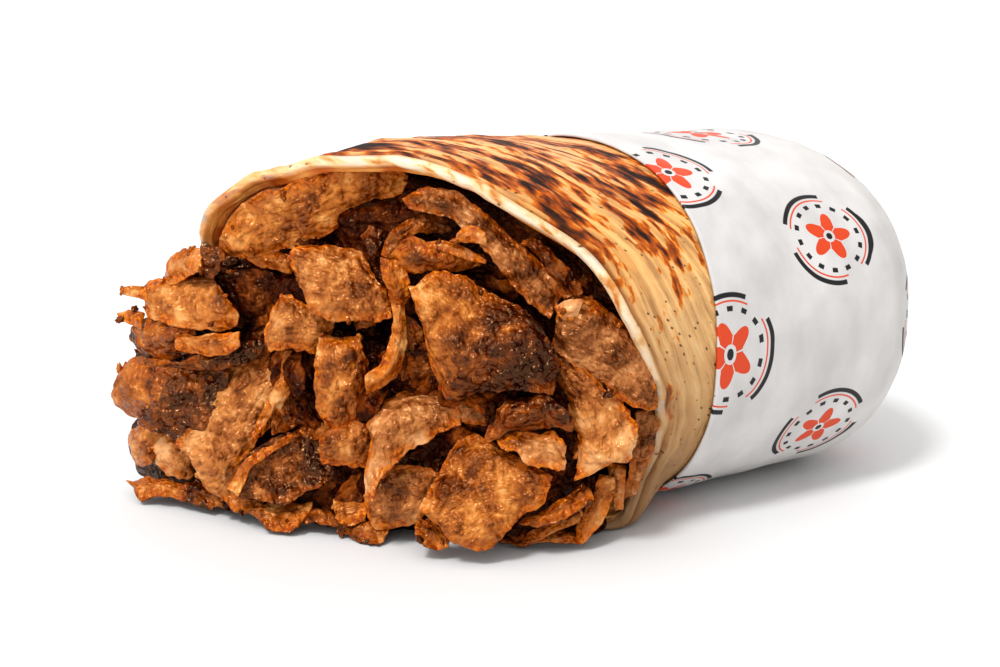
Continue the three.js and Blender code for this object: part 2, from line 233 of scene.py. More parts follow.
def hump(angle, middle, reach):
    """A hump of height 1 at `middle`, gone `reach` degrees away on both sides."""
    away = np.abs((angle - middle + 540) % 360 - 180)
    return 1 - smooth(away, 0, reach)


LATTICE_SIZE = 32
slopes = np.random.default_rng(7).normal(size=(LATTICE_SIZE,) * 3 + (3,))
slopes /= np.linalg.norm(slopes, axis=-1, keepdims=True)


def noise(points, size, seed=0):
    """Smooth noise of about -1 to 1 at points (..., 3), with bumps about `size` wide."""
    place = np.asarray(points) / size + 11.37 * (seed + 1)
    cell = np.floor(place).astype(int)
    within = place - cell
    blend = within ** 3 * (within * (within * 6 - 15) + 10)
    total = 0
    for corner in itertools.product((0, 1), repeat=3):
        slope = slopes[tuple(np.moveaxis((cell + corner) % LATTICE_SIZE, -1, 0))]
        weight = np.prod(np.where(corner, blend, 1 - blend), axis=-1)
        total = total + weight * ((within - corner) * slope).sum(axis=-1)
    return 1.7 * total


def stack(*parts):
    """Joins numbers and arrays of unlike shape into points (..., 3)."""
    return np.stack(np.broadcast_arrays(*parts), axis=-1).astype(float)


print("noise spreads over", noise(np.random.default_rng(1).uniform(0, 99, (999, 3)), 3).std().round(2))


# %% Meshes from grids of points
def grid_faces(rows, columns):
    """Quads over a grid of points whose rows are closed rings."""
    row, column = np.meshgrid(np.arange(rows - 1), np.arange(columns), indexing="ij")
    after = (column + 1) % columns
    quads = [row * columns + column, row * columns + after,
             (row + 1) * columns + after, (row + 1) * columns + column]
    return np.stack(quads, axis=-1).reshape(-1, 4)


def fan_faces(ring, pole):
    """Triangles from one ring of point numbers to a pole."""
    return np.stack([ring, np.roll(ring, -1), np.full(len(ring), pole)], axis=-1)


def closed_skin(grid, layers):
    """A closed skin over rings (rows, columns, 3) whose first and last rows have shrunk to a point.

    `layers` are named values of the same shape. Returns a dictionary of points, faces and layers.
    """
    rows, columns = grid.shape[:2]
    inside = rows - 2
    ends = [0, -1]
    points = np.concatenate([grid[1:-1].reshape(-1, 3), grid[ends, 0]])
    first_ring = np.arange(columns)
    last_ring = first_ring + (inside - 1) * columns
    skin = {
        "points": points,
        "quads": grid_faces(inside, columns),
        "triangles": np.concatenate([fan_faces(first_ring[::-1], inside * columns),
                                     fan_faces(last_ring, inside * columns + 1)]),
    }
    for name, values in layers.items():
        values = np.broadcast_to(values, grid.shape[:2] + np.shape(values)[2:])
        tail = values.shape[2:]
        skin[name] = np.concatenate([values[1:-1].reshape(-1, *tail), values[ends, 0]])
    return facing_out(skin)


def facing_out(skin):
    """Turns all faces round where the skin's volume comes out negative."""
    p, q, t = skin["points"], skin["quads"], skin["triangles"]
    corners = np.concatenate([q[:, [0, 1, 2]], q[:, [0, 2, 3]], t])
    a, b, c = (p[corners[:, i]] for i in range(3))
    if (a * np.cross(b, c)).sum() < 0:
        skin["quads"], skin["triangles"] = q[:, ::-1], t[:, ::-1]
    return skin


def joined(skins):
    """Many skins as one."""
    whole = {name: [] for name in skins[0]}
    start = 0
    for skin in skins:
        for name, values in skin.items():
            whole[name].append(values + start if name in ("quads", "triangles") else values)
        start += len(skin["points"])
    return {name: np.concatenate(values) for name, values in whole.items()}


def make_piece(name, skin, material, node, wrap=0):
    """Turns a skin, in millimetres from the middle of the mouth, into a piece of the model.

    The layer "uv" becomes a UV map in millimetres and each other layer a value that nodes can read.
    Where the UV map goes once round, `wrap` is its length, so that the last face doesn't run back.
    """
    faces = skin["quads"].tolist() + skin["triangles"].tolist()
    mesh = bpy.data.meshes.new(name)
    mesh.from_pydata(((skin["points"] + mouth_place) * MM).tolist(), [], faces)
    mesh.shade_smooth()
    for layer, values in skin.items():
        if layer in ("points", "quads", "triangles"):
            continue
        if layer != "uv":
            mesh.attributes.new(layer, "FLOAT", "POINT").data.foreach_set("value", values)
            continue
        corners = np.concatenate([skin["quads"].ravel(), skin["triangles"].ravel()])
        uv = values[corners].copy()
        if wrap:
            for first, last, sides in ((0, skin["quads"].size, 4), (skin["quads"].size, len(uv), 3)):
                around = uv[first:last, 0].reshape(-1, sides)
                around += wrap * (around < around.max(axis=1, keepdims=True) - wrap / 2)
        mesh.uv_layers.new(name="mm").data.foreach_set("uv", uv.ravel())
    mesh.materials.append(material)
    piece = bpy.data.objects.new(name, mesh)
    bpy.context.collection.objects.link(piece)
    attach(piece, "root")
    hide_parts(node)
    triangles = 2 * len(skin["quads"]) + len(skin["triangles"])
    size = np.ptp(skin["points"], axis=0).round(1)
    print(f"{name}: {triangles} triangles, {size} mm")
    return piece


print("three rings of four points have", len(grid_faces(3, 4)), "faces between them")


# %% [markdown]
# ## The roll's form
#
# Both the bread and the paper follow one form: a squared oval at each station along the roll. `inset`
# draws it in, so the same function gives the paper's outer face, the bread's outer face and its inner
# face. The mouth's edge is where a slanted plane cuts that form, with the waves of a hand-rolled edge.

# %% The roll's form
def wrap_point(x, angle, inset, closing=0.0, floor=None):
    """Points on the roll. The angle runs from the far side over the top; `closing` rounds the tail."""
    along = x / WRAP_LENGTH
    half_width = (MOUTH_SIZE[0] + (TAIL_SIZE[0] - MOUTH_SIZE[0]) * along) / 2
    half_height = (MOUTH_SIZE[1] + (TAIL_SIZE[1] - MOUTH_SIZE[1]) * along) / 2
    quarter = np.asarray(closing) * math.pi / 2
    girth = squared(np.cos(quarter), TAIL_SQUARENESS)
    reach = squared(np.sin(quarter), TAIL_SQUARENESS) * (TAIL_ROUNDING - inset)
    side = squared(np.cos(np.radians(angle)), SQUARENESS)
    rise = squared(np.sin(np.radians(angle)), SQUARENESS)
    below = np.where(rise < 0, SAG, 0)
    drop = SHOULDER_DROP * hump(angle, 52, 50) * (1 - smooth(x, -30, 30))
    drop = drop - SWELL * hump(angle, 80, 78) * (1 - smooth(x, 8, 68)) * smooth(x, -22, -2)
    height = half_height + (half_height + below - inset) * rise * girth - drop
    spread = FAR_SPREAD * hump(angle, 28, 50) * (1 - smooth(x, 0, 50))
    return stack(x + reach, (half_width - inset) * side * girth - drop * 0.5 + spread,
                 np.maximum(height, inset if floor is None else floor))


def mouth_station(angle, inset):
    """How far along the roll its mouth is cut, at each angle."""
    x = np.zeros_like(np.asarray(angle, float))
    for _ in range(4):
        point = wrap_point(x, angle, inset)
        x = MOUTH_SKEW * point[..., 1] + MOUTH_LEAN * (point[..., 2] - MOUTH_SIZE[1] / 2)
    waves = 0.9 * np.sin(np.radians(3 * angle + 40)) + 0.6 * np.sin(np.radians(8 * angle))
    inner_turn = 1.2 * smooth(angle, 300, 330)  # its edge lies 2.3 mm further back in the solids
    tongue = TONGUE_LENGTH * hump(angle, TONGUE_ANGLE, 17) * (1 - smooth(angle, 300, 330))
    return x + waves + inner_turn - tongue


ROLL_RADIUS = 42                        # a mean, to turn degrees into millimetres round the roll
print("the cut runs from", mouth_station(np.array([0.0, 90, 180, 270]), 0).round(1), "mm")


# %% [markdown]
# ## Flatbread
#
# The wrap is one sheet of thin wheat flatbread, rolled a turn and a half and pressed on a hot plate. It
# could be two nested tubes, but the edge of the sheet shows at the mouth, so it is built as it is rolled:
# a cross-section of the sheet's lip, which runs round the roll in a spiral. Its relief is in the mesh.
# Lines run parallel to the lip where the sheet was pulled tight, with a deep fold just behind the bead,
# and the dough has low blisters. A UV map in millimetres follows the sheet, so that the scorch marks can
# run with those lines.

# %% Relief of the flatbread
def bread_relief(around, behind):
    """How far the sheet stands out, at millimetres round the roll and behind its lip, and its folds."""
    sheet = stack(around, behind, 0)
    wander = 0.9 * noise(sheet, 24, 1)
    folds = 0
    for distance, width, depth, seed in ((2.3, 0.55, 1.3, 10), (4.4, 0.6, 0.5, 2), (7.2, 0.7, 0.35, 3)):
        strength = smooth(noise(stack(around, distance, 0), 26, seed), -0.6, 0.2)
        folds = folds + depth * strength * np.exp(-((behind - distance - wander) / width) ** 2)
    drawn = noise(sheet * [1 / 11, 1 / 1.9, 1], 1, 5) + 0.6 * noise(sheet * [1 / 6, 1, 1], 1, 6)
    blister = np.maximum(0, noise(sheet, 7, 7) - 0.1)
    return 0.12 * drawn + 0.9 * blister + 0.5 * noise(sheet, 18, 8) - folds, folds / 1.3


print("relief 6 mm behind the lip:", bread_relief(np.array([0.0, 100, 200]), 6.0)[0].round(2), "mm")


# %% Flatbread
def flatbread_skin(angle_step=1.5, stations=90, lip_steps=10):
    thick = BREAD_THICKNESS
    angle = np.arange(SEAM_START, SEAM_END + angle_step / 2, angle_step)[:, None]
    around = np.radians(angle) * ROLL_RADIUS
    tuck = (thick + CLEARANCE) * smooth(angle, 268, 296)
    outer = PAPER_THICKNESS + CLEARANCE + tuck
    ruffle = np.maximum(0, 0.7 * np.sin(np.radians(6 * angle + 20)) + 0.4 * np.sin(np.radians(11 * angle)))
    nibbled = 0.35 * noise(stack(around, 0, 0), 5, 9)
    lip = mouth_station(angle, outer) + nibbled

    part = (np.arange(stations + 1) / stations)[None, :] ** 1.5
    x = lip + thick / 2 + (TAIL_STATION - lip - thick / 2) * part
    behind = x - lip
    resting = PAPER_THICKNESS + 0.2

    def rest_height(at):
        return CLEARANCE - 0.2 + resting * smooth(at, PAPER_RIM - 10, PAPER_RIM - 2) + tuck

    bare = 1 - smooth(x, PAPER_RIM - 7, PAPER_RIM - 1)
    droop = 0.95 * hump(angle, DROOP_ANGLE, 11) ** 0.7 * (angle < 300)

    def drooped(points, at, thickness):
        """Lets the lower lip sink onto the table in one lobe."""
        low = droop * (1 - smooth(at - lip, 3, 11))
        points[..., 2] += (0.15 + thickness - points[..., 2]) * low
        points[..., 1] -= 2.0 * low
        points[..., 0] -= 3.0 * low
        return points

    relief, folds = bread_relief(around, behind)
    inward = outer + ruffle * (1 - smooth(behind, 2, 18)) - bare * relief
    outside = drooped(wrap_point(x, angle, inward, 0, rest_height(x)), x, 0)
    inside = drooped(wrap_point(x, angle, inward + thick, 0, rest_height(x) + thick), x, thick)

    turn = math.pi * np.arange(1, lip_steps)[None, :] / lip_steps
    bead_x = lip + thick / 2 * (1 - np.sin(turn))
    bead_in = thick / 2 * (1 - np.cos(turn))
    swell = bread_relief(around, np.full_like(turn, thick / 2))[0]
    bead = wrap_point(bead_x, angle, outer + ruffle + bead_in - swell, 0, rest_height(bead_x) + bead_in)
    bead = drooped(bead, bead_x, bead_in)
    tail = [wrap_point(TAIL_STATION, angle, depth, 0.4) for depth in (outer, outer + thick)]

    rings = np.concatenate([tail[0], outside[:, ::-1], bead, inside, tail[1]], axis=1)
    tail_end = behind[:, -1:] + 5
    from_lip = np.concatenate([tail_end, behind[:, ::-1], np.cos(turn) * thick / 2 + 0 * angle,
                               -behind, -tail_end], axis=1)
    flat = 0 * angle
    # The folds' depth, which the material paints darker as painted shade
    crease = np.concatenate([flat, folds[:, ::-1], flat + 0 * turn, 0 * folds, flat], axis=1)
    rows, columns = rings.shape[:2]
    quads = [grid_faces(rows, columns)]
    for first in (0, (rows - 1) * columns):
        k = np.arange(columns // 2 - 1)
        ladder = first + np.stack([k, k + 1, columns - 2 - k, columns - 1 - k], axis=-1)
        quads.append(ladder[:, ::-1] if first == 0 else ladder)
    return facing_out({
        "points": rings.reshape(-1, 3),
        "quads": np.concatenate(quads),
        "triangles": np.zeros((0, 3), int),
        "uv": stack(around, from_lip)[..., :2].reshape(-1, 2),
        "scorched": scorch_zone(angle, from_lip).ravel(),
        "crease": np.clip(crease, 0, 1).ravel(),
        # The bead at the lip, which the material paints pale: bare dough and a painted highlight
        "lip": ((1 - smooth(from_lip, 0.9, 1.9)) * smooth(from_lip, -1.6, -0.6)
                * (1 - 0.75 * hump(angle, 55, 50))).ravel(),
        # The lower half, which the material darkens: partly soaked juice, partly painted shade
        "wet": np.where(from_lip > -1, hump(angle, 236, 90), 0.0).ravel(),
        "inner": np.where(angle > 300, 1.0, 0 * from_lip).ravel(),
    })


def scorch_zone(angle, from_lip):
    """How hard each place was pressed on the hot plate: hard on top, barely on the near side."""
    edge = 163 - 0.45 * np.clip(from_lip, 0, 30)
    top = 1 - smooth(angle, edge - 14, edge + 18)
    far = 0.6 + 0.4 * smooth(angle, 10, 60)
    spots = 0.75 * hump(angle, 200, 26) * (1 - smooth(from_lip, 2.5, 5))
    return np.where(from_lip > -1.5, np.maximum(top * far, spots), 0.0)


flatbread = flatbread_skin()
print("flatbread sheet:", len(flatbread["points"]), "points")


# %% [markdown]
# ### Grilled flatbread, as a material
#
# Wheat dough baked quickly on a hot plate: cream where it never touched, golden where it did, and nearly
# black in streaks where it was pressed. Each scorch mark has an orange halo, so one "heat" value goes
# through one ramp of colours. Brushed fat gives a soft gloss that breaks up over the grain.

# %% Grilled wheat flatbread
# Each pattern: how wide its marks are round the roll and along it in mm, their tilt, and its detail
BREAD_PATTERNS = {
    "streaks": ((10.5, 3.4), -12, 3.0),
    "flecks": ((4.6, 1.7), -18, 3.0),
    "clusters": ((24, 11), -14, 2.0),
    "creases": ((30, 1.4), -4, 3.0),
    "bubbles": ((7, 6), 0, 2.0),
    "grain": ((3.2, 1.1), 6, 4.0),
}


def bread_material():
    material, tree, output = new_material("grilled wheat flatbread")
    sheet = add(tree, "UVMap", uv_map="mm")
    layer = {name: add(tree, "Attribute", attribute_name=name).outputs["Fac"]
             for name in ("scorched", "crease", "lip", "inner", "wet")}
    pattern = {}
    for number, (name, (size, tilt, detail)) in enumerate(BREAD_PATTERNS.items()):
        place = add(tree, "Mapping", {"Vector": sheet, "Location": (40.0 * number, 0, 0),
                                      "Rotation": (0, 0, math.radians(tilt)), "Scale": (*size, 1)},
                    vector_type="TEXTURE")
        pattern[name] = add(tree, "TexNoise", {"Vector": place, "Scale": 1.0, "Detail": detail})

    # Heat: where the sheet was pressed hard it goes dark in clusters of streaks, each with a golden
    # halo, and the rest is at least faintly golden
    marks = add(tree, "Mix", {0: 0.5, 2: pattern["streaks"], 3: pattern["flecks"]})
    heat = add(tree, "Math", {0: marks, 1: 6.0, 2: -3.0}, operation="MULTIPLY_ADD")
    heat = add(tree, "Math", {0: pattern["clusters"], 1: 4.0, 2: heat}, operation="MULTIPLY_ADD")
    heat = add(tree, "Math", {0: layer["scorched"], 1: 1.2, 2: heat}, operation="MULTIPLY_ADD")
    heat = add(tree, "Math", {0: heat, 1: 2.84}, operation="SUBTRACT", use_clamp=True)
    golden = add(tree, "Math", {0: layer["scorched"], 1: pattern["bubbles"]}, operation="MULTIPLY")
    golden = add(tree, "Math", {0: golden, 1: 0.05}, operation="MULTIPLY")
    heat = add(tree, "Math", {0: heat, 1: golden}, operation="MAXIMUM")
    baked = add(tree, "ValToRGB", {"Fac": heat}, stops=[
        (0.0, "#f3c98f"), (1.0, "#2a1106"), (0.06, "#f3b05a"), (0.2, "#e0801c"),
        (0.4, "#bd5e0e"), (0.62, "#8a420f"), (0.82, "#552709")])

    # Bare dough: whiter where it bubbled, greyer in the creases that run round the roll
    uneven = add(tree, "Mix", {0: 0.4, 2: pattern["creases"], 3: pattern["bubbles"]})
    dough = add(tree, "ValToRGB", {"Fac": uneven}, stops=[
        (0.36, "#9a7658"), (0.6, "#ffffff"), (0.5, "#ead7c2")])
    shaded = add(tree, "Mix", {0: 0.62, 6: baked, 7: dough}, data_type="RGBA", blend_type="MULTIPLY")

    # The bead at the lip is pale bare dough, made paler still as a painted highlight, and the folds behind it
    # are darkened as painted shade
    bare = add(tree, "ValToRGB", {"Fac": pattern["flecks"]}, stops=[
        (0.34, "#cf7d30"), (0.58, "#fdebd0"), (0.46, "#f4cf9c")])
    on_lip = add(tree, "Math", {0: layer["lip"], 1: 0.9}, operation="MULTIPLY")
    lipped = add(tree, "Mix", {0: on_lip, 6: shaded, 7: bare}, data_type="RGBA")
    folded = add(tree, "Mix", {0: layer["crease"], 6: lipped, 7: linear("#8a4a18")}, data_type="RGBA")

    # Low down the outer face is darkened: partly juice and fat soaked in where the sheet lies on the table,
    # partly painted shade on the lower side
    wet = add(tree, "Math", {0: layer["wet"], 1: 0.9}, operation="MULTIPLY")
    folded = add(tree, "Mix", {0: wet, 6: folded, 7: linear("#8f6a44")}, data_type="RGBA")

    # Pin-prick scorches, about half a millimetre wide, one every two millimetres
    dot_place = add(tree, "Mapping", {"Vector": sheet, "Scale": (2.1, 2.1, 1)}, vector_type="TEXTURE")
    dots = add(tree, "TexVoronoi", {"Vector": dot_place, "Scale": 1.0})
    dot = add(tree, "MapRange", {"Value": dots, "From Min": 0.18, "From Max": 0.1, "To Max": 0.85})
    dotted = add(tree, "Mix", {0: dot, 6: folded, 7: linear("#4a2610")}, data_type="RGBA")

    # The inner face was never on the plate: soft and steamed, and light through it turns it orange
    behind = add(tree, "SeparateXYZ", {0: sheet}).outputs["Y"]
    inside = add(tree, "MapRange", {"Value": behind, "From Min": -0.2, "From Max": -1.4})
    steamed = add(tree, "ValToRGB", {"Fac": pattern["bubbles"]}, stops=[
        (0.36, "#c9661a"), (0.64, "#f3ad5c")])
    colour = add(tree, "Mix", {0: inside, 6: dotted, 7: steamed}, data_type="RGBA")
    soft = add(tree, "Math", {0: layer["inner"], 1: 0.75}, operation="MULTIPLY")
    colour = add(tree, "Mix", {0: soft, 6: colour, 7: steamed}, data_type="RGBA")

    height = add(tree, "Mix", {0: 0.55, 2: pattern["creases"], 3: pattern["grain"]})
    bump = add(tree, "Bump", {"Strength": 0.9, "Distance": 1.1 * MM, "Height": height})
    rough = add(tree, "MapRange", {"Value": heat, "To Min": 0.4, "To Max": 0.7})
    rough = add(tree, "Math", {0: layer["lip"], 1: -0.14, 2: rough}, operation="MULTIPLY_ADD")
    shader = add(tree, "BsdfPrincipled", {
        "Base Color": colour, "Roughness": rough, "Normal": bump, "IOR": 1.45,
        "Specular IOR Level": 0.4, "Subsurface Weight": 0.12, "Subsurface Radius": (1.0, 0.5, 0.2),
        "Subsurface Scale": 1.5 * MM})
    tree.links.new(shader.outputs[0], output.inputs["Surface"])
    return material


make_piece("flatbread_sheet", flatbread, bread_material(), "flatbread")


# %% [markdown]
# ## Paper sleeve
#
# A bag of thin greaseproof paper, pulled tight round the closed half and gathered at the tail. Cloth
# simulation could crumple it, but paper is nearly stiff and the sleeve is tight, so it keeps the roll's
# form with shallow dents and a few sharp creases. Those are relief in the mesh: noise for the dents, and
# the ridges between the cells of a coarse cell pattern for the creases.

# %% Paper sleeve
SLEEVE_LOOP = 2 * math.pi * ROLL_RADIUS   # once round the sleeve in its UV map


def crumple(points):
    """How far the paper stands off the roll: never inward, because the bread is under it."""
    dents = noise(points, 30, 20) + 0.5 * noise(points, 13, 21)
    ridge = 1 - np.abs(noise(points, 22, 22)) * 3
    fine = 1 - np.abs(noise(points, 9, 23)) * 3
    return 0.28 + 0.25 * dents + 0.22 * np.maximum(0, ridge) + 0.07 * np.maximum(0, fine)


def sleeve_skin(sides=300, straight_rows=62, closing_rows=56):
    angle = (np.arange(sides) * 360 / sides)[None, :]
    straight = np.linspace(0, 1, straight_rows)[:, None]
    wavy_rim = 0.4 * noise(stack(np.cos(np.radians(angle)), np.sin(np.radians(angle)), 0), 0.4, 24)
    rim = PAPER_RIM + wavy_rim
    x = np.concatenate([rim + (TAIL_STATION - rim) * straight,
                        np.full((closing_rows, sides), TAIL_STATION)])
    closing = np.concatenate([0 * straight, np.linspace(0, 1, closing_rows + 1)[1:, None]])
    pleat = np.abs(np.sin(np.radians(PLEATS * angle / 2)))
    fold = PLEAT_DEPTH * smooth(closing, 0.5, 0.85) * pleat
    base = wrap_point(x, angle, 0, closing)
    lifted = crumple(base) * smooth(x, PAPER_RIM, PAPER_RIM + 5) * (1 - smooth(closing, 0.9, 1))
    sheets = []
    for inset in (-lifted, PAPER_THICKNESS - lifted):
        sheet = wrap_point(x, angle, inset, closing, 0.0)
        sheet[..., 0] -= fold
        sheet[-1] = sheet[-1].mean(axis=0)
        sheets.append(sheet)
    print("creases lift the paper by up to", lifted.max().round(2), "mm")
    run = x + closing * math.pi / 2 * TAIL_ROUNDING * 1.15
    uv = stack(np.radians(angle) * ROLL_RADIUS, run)[..., :2]
    return closed_skin(np.concatenate([sheets[0][::-1], sheets[1]]),
                       {"uv": np.concatenate([uv[::-1], uv])})


sleeve = sleeve_skin()
print("paper sleeve:", len(sleeve["points"]), "points")


# %% [markdown]
# ### Printed greaseproof paper
#
# Greaseproof paper is dense and faintly shiny, grey-white rather than white. It is printed in two flat
# inks with a plain flower badge: five petals, a ring of dots and broken arcs. The badge is drawn with
# distances and angles from the middle of each cell of a staggered pattern, all in millimetres.

# %% Printed greaseproof paper
BADGES_ROUND = 6                        # once round the sleeve
BADGE_ROW = 31                          # mm between rows along it


def paper_material():
    material, tree, output = new_material("printed greaseproof paper")
    sheet = add(tree, "UVMap", uv_map="mm")

    # Local millimetres from the middle of each badge; each row is shifted half a badge, each badge turned
    pitch = SLEEVE_LOOP / BADGES_ROUND
    split = add(tree, "SeparateXYZ", {0: sheet})
    row = add(tree, "Math", {0: split.outputs["Y"], 1: BADGE_ROW}, operation="DIVIDE")
    row = add(tree, "Math", {0: row}, operation="FLOOR")
    across = add(tree, "Math", {0: row, 1: pitch / 2, 2: split.outputs["X"]}, operation="MULTIPLY_ADD")
    shifted = add(tree, "CombineXYZ", {0: across, 1: split.outputs["Y"]})
    cell = add(tree, "VectorMath", {0: shifted, 1: (pitch, BADGE_ROW, 1)}, operation="DIVIDE")
    number = add(tree, "VectorMath", {0: cell}, operation="FLOOR")
    local = add(tree, "VectorMath", {0: cell, 1: number}, operation="SUBTRACT")
    local = add(tree, "VectorMath", {0: local, 1: (0.5, 0.5, 0)}, operation="SUBTRACT")
    local = add(tree, "VectorMath", {0: local, 1: (pitch, BADGE_ROW, 0)}, operation="MULTIPLY")
    chance = add(tree, "TexWhiteNoise", {"Vector": number}, noise_dimensions="3D").outputs["Value"]
    angle = add(tree, "Math", {0: chance, 1: 2 * math.pi}, operation="MULTIPLY")
    local = add(tree, "VectorRotate", {"Vector": local, "Angle": angle}, rotation_type="Z_AXIS")
    place = add(tree, "SeparateXYZ", {0: local})
    reach = add(tree, "VectorMath", {0: local}, operation="LENGTH")
    around = add(tree, "Math", {0: place.outputs["Y"], 1: place.outputs["X"]}, operation="ARCTAN2")

    # Petals: the edge of a disc that swells and shrinks five times round, with a gap between each two
    five = add(tree, "Math", {0: around, 1: 5.0}, operation="MULTIPLY")
    five = add(tree, "Math", {0: five}, operation="COSINE")
    petal_edge = add(tree, "Math", {0: five, 1: 1.5, 2: 4.6}, operation="MULTIPLY_ADD")
    inside = add(tree, "Math", {0: reach, 1: petal_edge}, operation="LESS_THAN")
    outside = add(tree, "Math", {0: reach, 1: 1.5}, operation="GREATER_THAN")
    veins = add(tree, "Math", {0: five, 1: -0.97}, operation="GREATER_THAN")
    petals = add(tree, "Math", {0: inside, 1: outside}, operation="MULTIPLY")
    petals = add(tree, "Math", {0: petals, 1: veins}, operation="MULTIPLY")

    # Rings round the petals: middle and half width in mm, then how often each is broken, its turn in
    # radians, and the cosine above which it is drawn
    rings = {"dots": (8.3, 0.55, 14.0, 0.0, 0.35), "heavy arcs": (11.2, 0.55, 3.0, 0.4, -0.55),
             "thin arcs": (9.9, 0.2, 3.0, 0.4, -0.75)}
    drawn = {}
    for name, (middle, half_width, count, phase, left) in rings.items():
        off = add(tree, "Math", {0: reach, 1: middle}, operation="SUBTRACT")
        off = add(tree, "Math", {0: off}, operation="ABSOLUTE")
        band = add(tree, "MapRange", {"Value": off, "From Min": half_width + 0.08,
                                      "From Max": half_width - 0.08})
        wave = add(tree, "Math", {0: around, 1: count, 2: phase}, operation="MULTIPLY_ADD")
        wave = add(tree, "Math", {0: wave}, operation="COSINE")
        kept = add(tree, "Math", {0: wave, 1: left}, operation="GREATER_THAN")
        drawn[name] = add(tree, "Math", {0: band, 1: kept}, operation="MULTIPLY")
    centre = add(tree, "Math", {0: reach, 1: 0.8}, operation="LESS_THAN")
    black = add(tree, "Math", {0: drawn["dots"], 1: drawn["heavy arcs"]}, operation="MAXIMUM")
    black = add(tree, "Math", {0: black, 1: centre}, operation="MAXIMUM")
    red = add(tree, "Math", {0: petals, 1: drawn["thin arcs"]}, operation="MAXIMUM")

    # Paper: long soft clouds of fibre, and a warm stain of fat near the tail
    clouds = add(tree, "Mapping", {"Vector": sheet, "Scale": (16, 11, 1)}, vector_type="TEXTURE")
    clouds = add(tree, "TexNoise", {"Vector": clouds, "Scale": 1.0, "Detail": 5.0})
    fibre = add(tree, "ValToRGB", {"Fac": clouds}, stops=[(0.3, "#c0bdbb"), (0.7, "#d8d5d3")])
    stain = add(tree, "Mapping", {"Vector": sheet, "Scale": (28, 20, 1)}, vector_type="TEXTURE")
    stain = add(tree, "TexNoise", {"Vector": stain, "Scale": 1.0, "Detail": 3.0})
    stain = add(tree, "MapRange", {"Value": stain, "From Min": 0.5, "From Max": 0.66, "To Max": 0.55})
    near_tail = add(tree, "MapRange", {"Value": split.outputs["Y"], "From Min": 92.0, "From Max": 125.0})
    stain = add(tree, "Math", {0: stain, 1: near_tail}, operation="MULTIPLY")
    greased = add(tree, "Mix", {0: stain, 6: fibre, 7: linear("#e2b877")}, data_type="RGBA")
    with_red = add(tree, "Mix", {0: red, 6: greased, 7: linear("#d4481c")}, data_type="RGBA")
    inked = add(tree, "Mix", {0: black, 6: with_red, 7: linear("#1b1a1c")}, data_type="RGBA")

    wrinkle = add(tree, "Mapping", {"Vector": sheet, "Scale": (4, 4, 1)}, vector_type="TEXTURE")
    wrinkle = add(tree, "TexNoise", {"Vector": wrinkle, "Scale": 1.0, "Detail": 6.0, "Roughness": 0.6})
    bump = add(tree, "Bump", {"Strength": 0.35, "Distance": 0.4 * MM, "Height": wrinkle})
    shader = add(tree, "BsdfPrincipled", {
        "Base Color": inked, "Normal": bump, "Roughness": 0.52, "IOR": 1.47})
    tree.links.new(shader.outputs[0], output.inputs["Surface"])
    return material


make_piece("greaseproof_sleeve", sleeve, paper_material(), "paper_sleeve", wrap=SLEEVE_LOOP)


# %% [markdown]
# ## Shaved meat
#
# Slices are shaved off a turning stack of grilled meat, so each is thin, curled and torn at its edges.
# One side of the stack's surface is browned, and the cut inside is pale. About seventy slices show, and
# no two are alike: slabs, hooks, hoods, fingers. The solids have them as plain ovals. Here each one is a
# strip between two long edges. The edges were drawn in a view from the camera, in millimetres on
# a plane 350 mm in front of it: across from the middle of the view, then up. A depth and a facing put the
# strip in space. A slice could be a plane with a cloth simulation, but its outline is what the eye knows
# it by, so the outline is drawn and the relief follows: curls, rumples, torn edges, then pebbly grain.

# %% Places on the heap
ALONG = np.array([0.535, -0.845, 0.0])
ALONG = ALONG / np.linalg.norm(ALONG)
OUT = np.array([-0.845, -0.535, 0.0])
OUT = OUT / np.linalg.norm(OUT)
UP = np.array([0.0, 0.0, 1.0])

DRAWING_DISTANCE = 350
view_ahead = (TARGET_FROM_MOUTH - CAMERA_FROM_MOUTH) / view_line.length
view_right = np.cross(view_ahead, UP) / np.linalg.norm(np.cross(view_ahead, UP))
view_up = np.cross(view_right, view_ahead)


def heap_point(along, height, proud):
    """A place on the heap as seen from in front of the mouth."""
    return (np.multiply.outer(along, ALONG) + np.multiply.outer(proud, OUT)
            + np.multiply.outer(height, UP))


def facing(to_near, upward):
    """The direction of a slice that looks this many degrees to the near side and up."""
    yaw, pitch = math.radians(to_near), math.radians(upward)
    return math.cos(pitch) * (math.cos(yaw) * OUT + math.sin(yaw) * ALONG) + math.sin(pitch) * UP


print("out of the mouth:", OUT.round(2), "and toward the near side:", ALONG.round(2))

Slice = namedtuple("Slice", "edge other_edge depth face curl ragged brown gold")

# The other edge goes on round, back to the start. depth: mm from the camera. curl: degrees along and
# across. ragged: how torn. brown: how grilled, from the start to the end. gold: 0 is greyish pink.
SHAVINGS = {}

